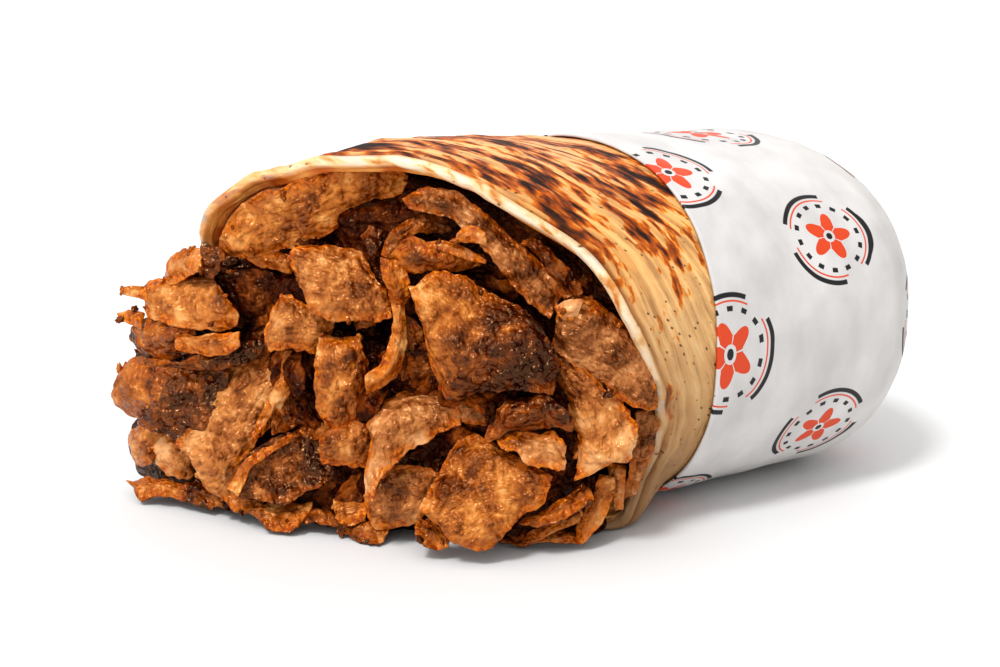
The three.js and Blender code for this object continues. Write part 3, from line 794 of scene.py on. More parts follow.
# %% Slices under the lip
SHAVINGS["shavings_under_lip"] = [
    Slice((-62, 16, -60.5, 21, -57, 27, -51, 31.5, -43, 34, -35, 36, -26, 36.3, -21.3, 33),
          (-22.5, 29.5, -29, 27.5, -36, 24, -43, 19.8, -51, 18, -58, 15.8),
          325, (14, -16), (25, -10), 0.06, (0.26, 0.34), 0.93),
    Slice((-55, 16.8, -51, 18, -47, 17.5, -45.5, 16.5), (-46, 13.8, -49, 14.5, -53, 15),
          332, (10, 10), (10, 20), 0.12, (0.3, 0.5), 0.8),
    Slice((-25.5, 18, -24, 22, -20, 25.3, -15, 25.8, -10.3, 24),
          (-11.5, 22.6, -16, 22.5, -20, 22, -22.5, 19, -23.5, 16.5),
          318, (20, 25), (20, 60), 0.12, (0.5, 0.55), 0.4),
    Slice((-20.3, 30, -16, 32, -9, 30.5, -2, 25, 5, 19, 11, 13.5, 13.5, 9),
          (11, 4.5, 6, 8, 0, 14, -4, 20, -9, 24.5, -14.5, 27, -19, 28.3),
          314, (30, 22), (18, 12), 0.06, (0.42, 0.46), 0.15),
    Slice((-8.8, 22, -7.5, 23.4, -5.5, 23.3, -4, 22), (-4, 20, -7, 20.5, -8.8, 20.8),
          312, (20, 10), (30, 60), 0.1, (0.1, 0.1), 0.4),
    Slice((6, 20, 8, 21, 12, 17, 16, 13, 18, 9), (16.5, 7, 13.5, 8, 11, 12.5, 9, 16.5),
          316, (25, 5), (10, 60), 0.18, (0.6, 0.6), 0.7),
    Slice((-30.5, 17, -30.5, 22, -27.5, 24, -25, 23.5), (-25.5, 19, -24.5, 16, -27, 15.5),
          323, (15, 10), (30, 60), 0.2, (0.85, 0.8), 0.6),
    Slice((-65.3, 18.5, -64.5, 19.3, -62.3, 18.6, -61.8, 16.5), (-63.2, 13.5, -64.3, 12.2, -65.2, 15),
          333, (0, 10), (20, 60), 0.2, (0.7, 0.6), 0.7),
    Slice((-66, 16, -62, 19, -57, 19, -53, 17), (-53, 11, -58, 10, -64, 11),
          341, (0, 10), (20, 30), 0.14, (0.8, 0.9), 0.5),
    Slice((-46, 16, -40, 20, -33, 23.5, -27, 26.5, -20, 28),
          (-19, 25, -26, 24, -33, 20, -40, 17, -44, 14),
          329, (20, -5), (10, 20), 0.18, (0.85, 0.9), 0.5),
    Slice((-4, 31.5, 4, 26.5, 12, 20.5, 19, 14, 25, 7, 29.5, 0, 31.5, -6),
          (28.5, -7, 24.5, -0.5, 18.5, 6, 11.5, 13, 4, 19.5, -3, 25),
          327, (30, 12), (15, 20), 0.16, (0.5, 0.62), 0.95),
    Slice((1, 26, 7, 22.5, 12, 17), (10, 14.5, 4, 19, 0, 23),
          322, (25, 20), (20, 50), 0.22, (0.62, 0.7), 0.9),
    Slice((17, 15.5, 22, 10.5, 26.5, 4), (24, 1, 19, 6, 14.5, 11),
          322, (25, 5), (20, 50), 0.22, (0.42, 0.5), 1.0),
]
print(len(SHAVINGS["shavings_under_lip"]), "slices under the lip")

# %% Slices at the left
SHAVINGS["shavings_left"] = [
    Slice((-75, 11.5, -73, 15, -71, 17.5, -68.5, 18.4, -65.5, 18.3), (-65, 14, -70, 12.5, -74, 11),
          338, (-12, 20), (20, 50), 0.1, (0.12, 0.1), 0.9),
    Slice((-78, 10.2, -74, 11.5, -69, 12.5, -65, 13, -62, 10.5),
          (-59.5, 7, -58.7, 4.5, -60, 2, -64, 0.8, -69, 2, -73, 3, -78, 4.5),
          337, (-8, 32), (25, 60), 0.06, (0.15, 0.25), 0.8),
    Slice((-82, 9.7, -80, 10, -76, 10), (-77, 7.3, -78.5, 8, -81.8, 8.7),
          344, (0, 20), (0, 60), 0.06, (0.25, 0.2), 0.7),
    Slice((-83.6, 4.4, -81, 4.9, -79, 4.3), (-79.5, 1.5, -80.5, 2.2, -83.2, 3.6),
          346, (0, 20), (0, 60), 0.06, (0.25, 0.25), 1.0),
    Slice((-81.3, -1, -80.5, 1, -78, 2.5, -73, 3.2, -69, 2.5),
          (-68, -1, -69, -4.5, -73, -6, -77.5, -5.8, -80.3, -4),
          345, (-15, -8), (40, 60), 0.06, (0.42, 0.5), 1.0),
    Slice((-70.8, -1.5, -70, 0.5, -69, 1.2, -67, -0.3, -64, -0.5, -57, -0.8),
          (-57, -3, -60, -4.2, -64, -4, -66.5, -3, -70.2, -3),
          335, (5, 35), (-8, 130), 0.06, (0.2, 0.25), 0.7),
    Slice((-83.5, -6.5, -79, -6.2, -74, -7, -70, -9),
          (-71, -14, -74, -18, -80, -18.8, -82.5, -19.2, -85, -15, -84.3, -10.5),
          349, (-15, 5), (30, 45), 0.16, (0.42, 0.54), 1.0),
    Slice((-75, -16, -72, -9, -67, -9, -60, -9),
          (-62, -18, -66, -24, -69.5, -23.5, -74, -21, -79.5, -19.3),
          342, (0, 8), (10, 20), 0.08, (0.78, 0.7), 0.6),
    Slice((-74, -7, -69, -6, -65, -5, -61, -3.5, -54, -1.5),
          (-52.5, -3, -53.5, -5, -57, -6.2, -62, -8, -70, -7.3),
          336, (10, 30), (5, 60), 0.1, (0.7, 0.8), 0.5),
    Slice((-70.5, -24.5, -66, -15.5, -62, -8.7, -55, -6.5, -49, -5.5),
          (-48.5, -12, -53, -22, -58, -30, -59, -36.5, -64.5, -34, -66.5, -29),
          339, (8, 14), (14, 28), 0.07, (0.12, 0.28), 0.5),
    Slice((-81, -23.5, -80, -21, -78, -19.9, -75, -21.5), (-75.5, -26, -76, -28.8, -78.5, -28.5, -79.7, -26),
          353, (-20, 0), (30, 50), 0.12, (0.3, 0.35), 0.8),
    Slice((-76, -23.5, -75, -21.8, -72, -22, -70, -24.5, -68, -27.5),
          (-69, -29.5, -69, -32.5, -72, -31.5, -75, -29, -75.5, -26),
          349, (-5, 10), (20, 40), 0.16, (0.06, 0.1), 0.4),
    Slice((-81.5, -32.3, -76, -32.2, -70, -33, -66, -32.5, -63, -34),
          (-60, -37.5, -64, -37.7, -69, -36.5, -75, -35.8, -79, -36.3, -79.8, -34),
          350, (-5, 50), (10, 20), 0.12, (0.3, 0.7), 0.9),
    Slice((-59, 8, -57, 7, -54, 8, -50.5, 7), (-50, 3, -51, -0.5, -53, -1, -56.5, 0, -58.5, 4),
          343, (5, 10), (20, 40), 0.2, (0.5, 0.6), 0.3),
    Slice((-63.5, 13, -60, 13.5, -57, 11, -52, 8.5, -50, 6), (-53, 6, -58, 7.5, -62, 10.5),
          341, (10, 10), (10, 60), 0.2, (0.9, 0.9), 0.3),
    Slice((-60, 13.5, -57, 13.5, -54, 12.5, -50, 12), (-50, 10.5, -54, 10.5, -57, 11, -59, 12.5),
          339, (10, 20), (10, 80), 0.12, (0.3, 0.4), 0.9),
    Slice((-60, -36, -56, -34.5, -52, -36), (-53, -38.5, -58, -38.3),
          340, (5, 50), (20, 60), 0.16, (0.4, 0.6), 0.7),
    Slice((-81, -3, -75, -2, -68, -3), (-66, -8, -72, -10, -80, -9),
          354, (-5, 10), (20, 30), 0.14, (0.8, 0.85), 0.7),
    Slice((-73, 12, -68, 14, -62, 13.5), (-61, 9, -66, 7, -72, 8),
          344, (0, 15), (20, 30), 0.14, (0.8, 0.85), 0.6),
    Slice((-81, -19, -75, -17, -70, -20), (-68, -28, -68, -33, -75, -34, -79, -31, -81, -26),
          357, (-20, 10), (20, 30), 0.14, (0.95, 0.95), 0.5),
]
print(len(SHAVINGS["shavings_left"]), "slices at the left")

# %% Slices in the middle
SHAVINGS["shavings_middle"] = [
    Slice((-46, 16.3, -44.5, 18.8, -38, 19.5, -31, 18, -27, 10.5, -24, 8),
          (-24.5, 4, -28, 3, -34, 4, -37, 3.5, -41.5, 5.5, -43.5, 11),
          322, (22, 28), (8, 30), 0.12, (0.26, 0.42), 0.6),
    Slice((-51, 1, -49.5, 5, -48, 8.5, -46.5, 8.8, -45.5, 6.5, -43, 5.8, -37.5, 3.5),
          (-38, -0.5, -39.5, -3, -42, -3.8, -46, -2.5, -49.5, -3.2, -51, -1.5),
          327, (18, 15), (20, 40), 0.26, (0.2, 0.25), 0.6),
    Slice((-46.5, -4.5, -47.5, -8, -48.5, -11, -50.5, -15, -51.5, -18, -53.5, -21.5),
          (-53, -22.5, -50, -20.5, -48, -17, -46.5, -13, -45, -9, -44.5, -5),
          333, (40, 5), (10, 90), 0.2, (0.15, 0.2), 0.6),
    Slice((-46, -4, -43, -3.5, -40.5, -4.5), (-40, -15, -42, -18.5, -48, -20.5, -52, -22, -49, -15),
          337, (50, 5), (10, -70), 0.08, (0.6, 0.7), 0.9),
    Slice((-59.3, -33, -56, -28, -51, -24.3, -45, -21.8, -39, -20),
          (-36, -31, -40, -34, -46, -36.8, -52, -36, -58, -34.8),
          335, (14, 18), (8, -22), 0.08, (0.66, 0.6), 0.5),
    Slice((-59.2, -33, -57, -29, -53, -25.5, -47, -22.5, -43, -21),
          (-44, -22.5, -50, -25.5, -55, -29, -57.5, -34.5),
          333, (14, 30), (8, 130), 0.08, (0.35, 0.35), 1.0),
    Slice((-39.3, -1, -40.2, -7, -40, -15, -38.3, -22), (-33, -19.5, -30, -17, -28.8, -9, -31, -1.5),
          325, (22, 8), (14, 50), 0.1, (0.38, 0.38), 0.8),
    Slice((-39.3, -25.5, -38, -21.5, -35.5, -19.8, -32, -18.9, -29, -21),
          (-28.3, -25, -30, -29.5, -34, -28.2, -38.5, -28),
          328, (15, 12), (20, 40), 0.18, (0.3, 0.35), 0.7),
    Slice((-23.3, 6.5, -23, 2, -23.8, -3, -25.5, -7.5, -29, -9.5),
          (-28.8, -13, -25, -11.5, -21.5, -8.5, -20.5, -2, -21.3, 6),
          321, (28, 5), (20, 60), 0.1, (0.15, 0.2), 0.8),
    Slice((-20.5, 3, -18, 2, -16, -3, -17, -8), (-20, -10, -22, -10, -21, -5),
          324, (35, 0), (10, 20), 0.14, (0.65, 0.7), 1.0),
    Slice((-25, 14.5, -22, 18.5, -18, 20, -12, 18, -6, 15.8, -3.5, 14.8),
          (-4.5, 12.8, -9, 13.3, -14, 15, -19, 14, -23, 12),
          315, (20, -22), (60, 40), 0.08, (0.4, 0.35), 0.8),
    Slice((-25.5, 15.5, -25, 10, -22.5, 5), (-20, 8, -20.5, 12, -22, 15),
          317, (20, 0), (20, 80), 0.1, (0.35, 0.3), 0.9),
    Slice((-16, 19.5, -12, 19.7, -8, 18.5, -3.5, 16.7), (-4, 16, -9, 17, -15, 18.7),
          314, (20, 30), (10, 100), 0.06, (0.15, 0.15), 0.1),
    Slice((-19.2, 9.3, -14, 13.3, -8, 12.5, -2, 8, 4, 6, 9, 0.5, 12.8, -6.5),
          (11, -12.8, 4, -12, -3, -12, -8, -13.5, -11.5, -15, -15, -7, -17, 3),
          312, (20, 12), (26, 52), 0.08, (0.28, 0.86), 0.85),
    Slice((-10, -14.5, -8, -14, -3, -13.5, -2.5, -15), (-2.5, -19, -5, -19.5, -7.5, -19.8, -9, -17.5),
          321, (15, 5), (20, 40), 0.12, (0.35, 0.4), 0.1),
    Slice((-30.2, -34, -29.3, -27, -28, -22.5, -29.5, -19, -27, -15, -22, -12, -16, -10.5, -11, -12),
          (-10.3, -18.5, -14.5, -20, -19, -22.8, -24, -27, -27, -31, -28.7, -35.5),
          322, (2, 34), (30, 55), 0.07, (0.2, 0.25), 0.3),
    Slice((-23, -26, -18, -23.5, -13, -23, -11, -25),
          (-13, -28, -14, -30.5, -17.5, -29, -20, -28.5, -22.5, -29.5),
          329, (10, 20), (20, 40), 0.26, (0.6, 0.7), 0.5),
    Slice((-3, -23.5, -2.5, -20.5, -1, -17, 1, -14.8, 5, -14, 9, -13.5, 13, -16, 15.5, -19),
          (15, -21, 11, -20, 8, -20.5, 5, -21.5, 2, -20.5, 0, -22.5),
          315, (15, 10), (20, 90), 0.1, (0.62, 0.76), 0.9),
    Slice((0, -23.5, 3, -22, 8, -21.3, 12, -22, 14, -24.5),
          (13.7, -29.5, 12.5, -30.3, 10.5, -29, 8, -29, 5.5, -27.5, 4.5, -25.5, 1, -25),
          317, (20, 30), (10, 20), 0.18, (0.12, 0.14), 0.3),
]
print(len(SHAVINGS["shavings_middle"]), "slices in the middle")

# %% Slices at the right
SHAVINGS["shavings_right"] = [
    Slice((12.5, -1, 13, 4, 17, 6.5, 20, 6, 24, 4, 27, 1.5, 31, -4, 33.5, -10),
          (34, -15.5, 32.5, -17, 30.5, -16, 27.5, -15, 23, -11.5, 19, -9.5, 15.5, -5.5, 12, -2.5),
          317, (24, 8), (20, 20), 0.06, (0.38, 0.34), 0.1),
    Slice((13, 5.5, 15, 7, 17.3, 6.8), (16.5, 4, 15, 3.2, 13.5, 4),
          314, (24, 8), (40, 80), 0.1, (0.0, 0.05), 0.3),
    Slice((16, 8.5, 20, 7.5, 25, 3.5, 29, 0), (28, -1.5, 25, 1, 21, 4.5, 17.5, 6.5),
          319, (24, 20), (10, 80), 0.1, (0.35, 0.4), 1.0),
    Slice((15, 15, 19, 13.5, 23, 9, 26, 4), (22, 6, 18, 9, 14, 11),
          323, (24, 0), (10, 30), 0.12, (0.6, 0.6), 0.5),
    Slice((12, -3.5, 13.5, -12, 15.5, -20, 18.5, -26, 17.5, -31.3),
          (21, -30, 25.5, -27.5, 28.5, -28.3, 30.5, -20, 26, -15, 19, -9, 15, -3),
          319, (18, 12), (10, 20), 0.16, (0.4, 0.02), 0.5),
    Slice((30, -17.5, 30, -25, 29, -31, 28, -36), (30, -35, 33, -27, 34.5, -20, 34.5, -17),
          327, (40, 0), (10, 20), 0.1, (0.4, 0.45), 0.1),
    Slice((22, -31.5, 20.5, -36, 18.5, -39, 17.3, -42, 17, -45.3),
          (18.2, -45.5, 20, -43.3, 22.5, -40.5, 24.5, -36, 24.5, -32),
          326, (15, 20), (20, 80), 0.08, (0.35, 0.2), 0.8),
    Slice((24, -29.5, 25, -34, 25.3, -38.3), (26.7, -38, 26.8, -35, 27.5, -29.5),
          328, (20, 10), (10, 80), 0.08, (0.35, 0.35), 0.2),
]
print(len(SHAVINGS["shavings_right"]), "slices at the right")

# %% Slices at the foot of the heap
SHAVINGS["shavings_low"] = [
    Slice((-29.3, -36, -27, -30.5, -20, -29, -14, -31),
          (-16, -38, -19, -41.5, -23, -42.5, -27, -42.5, -28.7, -40),
          328, (8, 15), (20, 30), 0.07, (0.36, 0.3), 0.4),
    Slice((-17.3, -38.5, -13, -30.5, -9.5, -24, -6, -22, 0, -25, 6, -28.5, 10.5, -31.5),
          (9, -36.6, 3, -40.8, -1, -44.8, -4, -47.4, -10, -45.8, -14, -41),
          318, (20, 26), (24, 30), 0.1, (0.36, 0.3), 0.85),
    Slice((5, -40.8, 10, -38.5, 14.5, -36.5, 17, -33, 18.5, -31.5), (20, -36, 17, -38.5, 13, -40.5, 8, -42.5),
          322, (12, 50), (10, 60), 0.1, (0.4, 0.5), 0.9),
    Slice((5, -43.5, 10, -42.5, 12.5, -41.5, 17, -40.5), (17, -42, 13, -43.3, 9, -44.5, 6, -44.8),
          325, (12, 50), (14, 60), 0.1, (0.4, 0.4), 0.8),
    Slice((0, -44.5, 5, -44, 9, -44, 14, -43, 17, -43.5), (17.5, -44.8, 12, -45.2, 7, -46, 3, -45.6, 0, -45),
          327, (12, 60), (6, 60), 0.14, (0.5, 0.4), 0.8),
    Slice((-55.3, -38.7, -52, -37, -46, -37.5, -42, -37.5),
          (-42, -38.5, -44, -40.5, -45, -42.3, -48, -42.8, -51, -42.5, -52.5, -40.5),
          336, (5, 48), (10, 30), 0.14, (0.4, 0.4), 0.8),
    Slice((-44, -39.5, -41, -38.8, -37, -39), (-35, -41.5, -38, -41.8, -42, -41.3),
          335, (5, 48), (10, 50), 0.16, (0.6, 0.5), 0.7),
    Slice((-36.8, -38, -35.5, -35.5, -32.5, -34, -30, -36), (-30, -40, -33, -41.5, -35.3, -40.8),
          332, (10, 30), (20, 60), 0.16, (0.2, 0.3), 0.8),
    Slice((-35.5, -41.5, -33, -40.5, -30, -40.2, -26, -41, -25.3, -42.5),
          (-26, -45, -28.5, -45.6, -31.5, -44.5, -34, -43),
          331, (10, 40), (20, 60), 0.16, (0.4, 0.5), 0.7),
    Slice((-18.5, -42, -17, -40.5, -14.5, -41.5, -12, -44), (-12, -46, -15, -46.8, -17, -45.5, -18, -43.5),
          323, (10, 50), (10, 40), 0.2, (0.4, 0.4), 0.7),
]
print(len(SHAVINGS["shavings_low"]), "slices at the foot of the heap")
print(sum(map(len, SHAVINGS.values())), "slices show in all")


# %% Edges and cross-section of a slice
SPACING = 0.32                          # mm between points: less than two pixels of the photograph
SPREAD = 0.5                            # mm that each slice goes on under its neighbours


def even_edge(corners, count):
    """A drawn edge as points spaced evenly, with its corners rounded a little."""
    corners = np.reshape(corners, (-1, 2)).astype(float)
    along = np.append(0, np.hypot(*np.diff(corners, axis=0).T).cumsum())
    fine = np.linspace(0, along[-1], 200)
    edge = np.stack([np.interp(fine, along, corners[:, i]) for i in (0, 1)], axis=-1)
    reach = int(np.clip(1.3 / along[-1] * 200, 1, 24))
    padded = np.concatenate([2 * edge[:1] - edge[reach:0:-1], edge, 2 * edge[-1:] - edge[-2:-reach - 2:-1]])
    total = np.append(np.zeros((1, 2)), padded.cumsum(axis=0), axis=0)
    rounded = (total[2 * reach + 1:] - total[:-2 * reach - 1]) / (2 * reach + 1)
    pick = np.linspace(0, 199, count)
    return np.stack([np.interp(pick, np.arange(200), rounded[:, i]) for i in (0, 1)], axis=-1)


def cross_section(width, spacing):
    """Over the front, round the edge, along the back and up again: place, past the edge, and side."""
    front = np.linspace(0, 1, max(5, round(width / spacing)))
    back = np.linspace(1, 0, max(4, len(front) // 3))
    turn = np.linspace(0, math.pi, 6)[1:-1]
    return (np.concatenate([front, 1 + 0 * turn, back, 0 * turn]),
            np.concatenate([0 * front, np.sin(turn), 0 * back, -np.sin(turn)]),
            np.concatenate([1 + 0 * front, np.cos(turn), 0 * back - 1, -np.cos(turn)]))


def sagged(distance, extent, degrees):
    """How far a point drops when a strip `extent` wide is bent round an arc."""
    radius = extent / math.radians(degrees if abs(degrees) > 1 else 1)
    return radius * (1 - np.cos(distance / radius))


print("a slice 8 mm wide has", len(cross_section(8, SPACING)[0]), "points round it")


# %% How an edge tears and a slice browns
def torn(edge, ragged):
    """How far an edge is drawn out or torn in at points on it, in mm: fine teeth, a few deep notches."""
    teeth = 0.5 * noise(edge, 2.8, 30) + 0.55 * noise(edge, 1.2, 31)
    notch = 2.2 * np.maximum(0, noise(edge, 6, 32) - 0.25) + 0.9 * np.maximum(0, noise(edge, 3, 33) - 0.3)
    return (0.35 + 4.2 * ragged) * (teeth - notch)


def brownness(row, along, sheet):
    """How grilled the slice is at each point: even along it, with patches and flecks."""
    first, last = row.brown
    even = first + (last - first) * smooth(along, 0.2, 0.8)
    return np.clip(even + 0.2 * noise(sheet, 6, 41) + 0.12 * noise(sheet, 2.4, 42), 0, 1)


sample = np.array([[0.0, 0.0, 0.0], [4.0, 2.0, 0.0]])
print("two places on an edge are torn by", torn(sample, 0.1).round(2), "mm")


# %% One slice
def slice_skin(row, number, place, look, spacing=SPACING):
    """A slice as a strip from its first edge to its other. `place` turns drawn points into space."""
    corners = [np.reshape(edge, (-1, 2)) for edge in (row.edge, row.other_edge)]
    length = np.mean([np.hypot(*np.diff(c, axis=0).T).sum() for c in corners])
    rows = max(8, round(length / spacing))
    first, last = even_edge(row.edge, rows), even_edge(row.other_edge, rows)[::-1]
    middle = (first + last) / 2
    width = np.hypot(*(first - last).T).mean()
    across, past, side = (part[None, :] for part in cross_section(width, spacing))

    # Three more rows round off each end
    ends = np.array([80, 52, 26]) * math.pi / 180
    s = np.concatenate([0 * ends, np.linspace(0, 1, rows), 1 + 0 * ends])[:, None]
    beyond = np.concatenate([-np.sin(ends), np.zeros(rows), np.sin(ends[::-1])])[:, None]
    shrink = np.sqrt(1 - beyond ** 2)
    pick = np.rint(s[:, 0] * (rows - 1)).astype(int)
    a, b = first[pick][:, None], last[pick][:, None]
    span = np.maximum(np.linalg.norm(b - a, axis=-1), 0.6)
    over = (b - a) / span[..., None]
    reach = min(4, rows - 1)
    tips = [middle[0] - middle[reach], middle[-1] - middle[-1 - reach]]
    tips = [tip / (np.linalg.norm(tip) + 1e-6) for tip in tips]
    outward = np.where(s[..., None] < 0.5, tips[0], tips[1])

    # Distance from the nearest edge, in mm, and the thickness that goes with it
    margin = np.minimum(0.3, 0.2 / span)
    t = margin + (1 - 2 * margin) * across
    from_edge = np.minimum(np.minimum(t, 1 - t) * span, np.minimum(s, 1 - s) * length)
    drawn = a + (b - a) * t[..., None]
    drawn_at = stack(drawn[..., 0], drawn[..., 1], 37.0 * number)
    half = SLICE_THICKNESS / 2 * (0.26 + 0.74 * smooth(from_edge, 0, 3.5))
    half = half * (0.85 + 0.35 * noise(drawn_at, 7, 39))

    small = np.minimum(1, span / 6)
    for edge, direction, gap in ((a, -1, t * span), (b, 1, (1 - t) * span)):
        tear = torn(stack(edge[..., 0], edge[..., 1], 37.0 * number), row.ragged) * small
        drawn = drawn + over * (direction * tear * np.exp(-gap / 1.5))[..., None]
    tear = torn(drawn_at, row.ragged) * min(1, length / 8) * np.exp(-np.minimum(s, 1 - s) * length / 1.5)
    spread = np.sign(t - 0.5) * SPREAD * smooth(np.abs(t - 0.5), 0.2, 0.5)
    drawn = drawn + outward * (tear + SPREAD + np.abs(beyond) * half)[..., None]
    drawn = drawn + over * (spread + past * shrink * half)[..., None]

    # Relief: curls, rumples, a fluttering edge, pebbles and pits
    sheet = stack(drawn[..., 0], drawn[..., 1], 37.0 * number)
    browned = brownness(row, s, sheet)
    rumple = 1.6 * noise(sheet, 12, 34) + 0.7 * noise(sheet, 5.5, 35)
    flutter = 1.2 * noise(drawn_at, 5, 43) * (1 - smooth(from_edge, 0, 4))
    pebbles = np.abs(noise(sheet, 2.6, 36)) + 0.6 * np.abs(noise(sheet, 1.3, 37))
    wrinkle = 1 - np.abs(noise(sheet, 3.4, 48)) * 2.5
    grain = (0.4 + 0.4 * browned) * (pebbles - 0.4) - 0.6 * np.maximum(0, noise(sheet, 3.0, 38) - 0.3)
    grain = grain + 0.2 * np.maximum(0, wrinkle)
    drop = sagged((s - 0.5) * length, length, 1.2 * row.curl[0])
    drop = drop + sagged((t - 0.5) * span, width, 1.2 * row.curl[1])
    lift = side * shrink * (half + grain * smooth(from_edge, -0.2, 0.8)) - drop + rumple + flutter
    points = place(drawn) + lift[..., None] * look
    points[..., 2] = np.maximum(points[..., 2], np.where(side > 0, 0.3, 0.02))

    # The band along the edges that the material turns amber: the fat's own colour and a painted glow of light
    # through the thin edge
    uneven = from_edge + 0.6 * noise(sheet, 3, 40)
    tips = [np.tile(points[i].mean(axis=0), (1, points.shape[1], 1)) for i in (0, -1)]

    def padded(layer):
        return np.concatenate([layer[:1], layer, layer[-1:]])

    return closed_skin(np.concatenate([tips[0], points, tips[1]]), {
        "uv": padded(stack(s * length + 61.0 * number, (t - 0.5) * span)[..., :2]),
        "brown": padded(np.clip(browned + (1 - side) * 0.17, 0, 1)),
        "rim": padded(1 - smooth(uneven, 0.5, 1.4 + 1.4 * row.gold + 4 * (row.gold > 0.95))),
        "gold": np.full((len(points) + 2, points.shape[1]), row.gold),
    })


# %% The slices that show
def drawn_slice(row, number):
    """A slice whose edges are drawn in the camera's view, laid on the table where it would sink in."""
    look = facing(*row.face)
    outline = np.reshape(row.edge + row.other_edge, (-1, 2))

    def ray(drawn):
        right, up = (drawn[..., i, None] / DRAWING_DISTANCE for i in (0, 1))
        return view_ahead + right * view_right + up * view_up

    centre = ray(outline.mean(axis=0)) * row.depth

    def place(drawn):
        line = ray(drawn)
        distance = (centre @ look) / (line @ look)
        distance = row.depth + 12 * np.tanh((distance - row.depth) / 12)
        table = -CAMERA_FROM_MOUTH[2] / line[..., 2]
        distance = np.where(line[..., 2] < 0, np.minimum(distance, table - 2.5), distance)
        return CAMERA_FROM_MOUTH + line * distance[..., None]

    return slice_skin(row, number, place, look)


number = 0
slices = {}
for name, rows in SHAVINGS.items():
    slices[name] = []
    for row in rows:
        slices[name].append(drawn_slice(row, number))
        number += 1
print("the biggest slice has", max(len(skin["points"]) for skin in slices["shavings_middle"]), "points")


# %% [markdown]
# ### The imported core and what fills the gaps
#
# Behind the slices the roll is packed with more of the same, in deep shadow. The core has the form of the
# solids: a filling inside the bread and a mound in front of it, set back at the front so that the gaps
# have depth. It is rough, like shreds pressed together, and coloured dark brown as painted shade. Between
# it and the slices that show, more are tucked in at random, with a fixed seed, so that no gap ends on a
# smooth wall; they too are dark, as painted shade in the gaps. More lie over the far end and the back of
# the mound, which would otherwise be bare for a viewer who walks round the wrap.

# %% The imported core
GAP_DEPTH = 8.0                         # how far the core's front lies behind its solid's, in the gaps
THINNEST_MOUND = 4.0


def filling_skin(sides=150, steps=14):
    angle = (360 * (np.arange(sides) + 0.5) / sides)[None, :]
    inset = PAPER_THICKNESS + 2 * BREAD_THICKNESS + 4 * CLEARANCE + 0.8
    rows = []
    for deeper in np.linspace(34, 0, 26)[:-1]:
        forward = BULGE * (1 - (1 - deeper / 34) ** 2) - 8 * (1 - smooth(deeper, 0, 7))
        start = mouth_station(angle + 360, inset + deeper) - forward
        rows.append(wrap_point(start, angle, inset + deeper))
    start = mouth_station(angle + 360, inset) + 5
    for part in np.linspace(0, 1, steps):
        rows.append(wrap_point(start + (TAIL_STATION - start) * part, angle, inset))
    for closing in (0.4, 0.7, 0.9):
        rows.append(wrap_point(np.full_like(angle, TAIL_STATION), angle, inset, closing))
    grid = np.concatenate(rows)
    front = grid[0].mean(axis=0) + OUT * 0.5
    back = grid[-1].mean(axis=0)
    grid = np.concatenate([np.tile(front, (1, sides, 1)), grid, np.tile(back, (1, sides, 1))])
    return roughened(grid)


def mound_plane(height):
    return MOUND_LEAN * (height - MOUTH_SIZE[1] / 2) + MOUND_START


def mound_back(height):
    """Where the mound's back lies, in the solid's own plane, but always behind the core's front."""
    return np.minimum(mound_plane(height), MOUND_REACH - GAP_DEPTH - THINNEST_MOUND)


def mound_skin(spokes=170, steps=44):
    turn = (math.pi * np.arange(spokes) / (spokes - 1))[None, :]
    rounds = np.concatenate([np.linspace(0, 1, steps), np.linspace(1, 0, 12)])[:, None]
    front = np.concatenate([np.ones(steps), np.zeros(12)])[:, None]
    z = MOUND_HEIGHT * rounds * squared(np.sin(turn), MOUND_SQUARENESS)
    along = MOUND_MIDDLE + MOUND_HALF_WIDTH * rounds * squared(np.cos(turn), MOUND_SQUARENESS)
    back = mound_back(z)
    depth = np.maximum(1, (MOUND_REACH - GAP_DEPTH - back) * np.sqrt(1 - rounds ** 6))
    return roughened(heap_point(along, z, back + front * depth))


def roughened(grid):
    """Shreds pressed together: lumps and furrows, never below the table."""
    lumps = 1.5 * noise(grid, 7, 50) + 0.8 * noise(grid * [1, 1, 2], 3.4, 51) + 0.3 * noise(grid, 1.6, 52)
    grid = grid + lumps[..., None] * OUT
    grid[..., 2] = np.maximum(grid[..., 2], 0.05)
    shape = grid.shape[:2]
    return closed_skin(grid, {
        "uv": stack(grid[..., 1], grid[..., 2])[..., :2],
        # Painted shade: the packed core is coloured a dark brown
        "brown": np.clip(0.85 + 0.3 * noise(grid, 6, 53), 0, 1),
        "rim": np.zeros(shape),
        "gold": np.full(shape, 0.5),
    })


core = joined([filling_skin(), mound_skin()])
print("core:", len(core["points"]), "points")


# %% Loose slices
def loose_slice(draw, middle, look, number, browns):
    """A slice of random size, turn and curl at a place on the heap."""
    level = np.cross(UP, look)
    level = level / np.linalg.norm(level)
    tilt = draw.uniform(-0.9, 1.6)
    long_way = level * math.cos(tilt) + np.cross(look, level) * math.sin(tilt)
    length, width = draw.uniform(11, 20), draw.uniform(6, 11)
    turn = np.linspace(math.pi, 0, 9)
    oval = stack(length / 2 * np.cos(turn), width / 2 * np.sin(turn))
    brown = draw.uniform(*browns)
    row = Slice(tuple(oval.ravel()), tuple((oval * [-1, -1]).ravel()), 0, (0, 0),
                (draw.uniform(0, 40), draw.uniform(-30, 70)), 0.16,
                (brown, brown + draw.uniform(-0.2, 0.1)), draw.uniform(0.2, 1))
    axes = np.stack([long_way, np.cross(look, long_way)])
    return slice_skin(row, number, lambda drawn: middle + drawn @ axes, look, 0.85)


sample = loose_slice(np.random.default_rng(1), UP, OUT, 0, (0.5, 0.5))
print("a loose slice has", len(sample["points"]), "points")


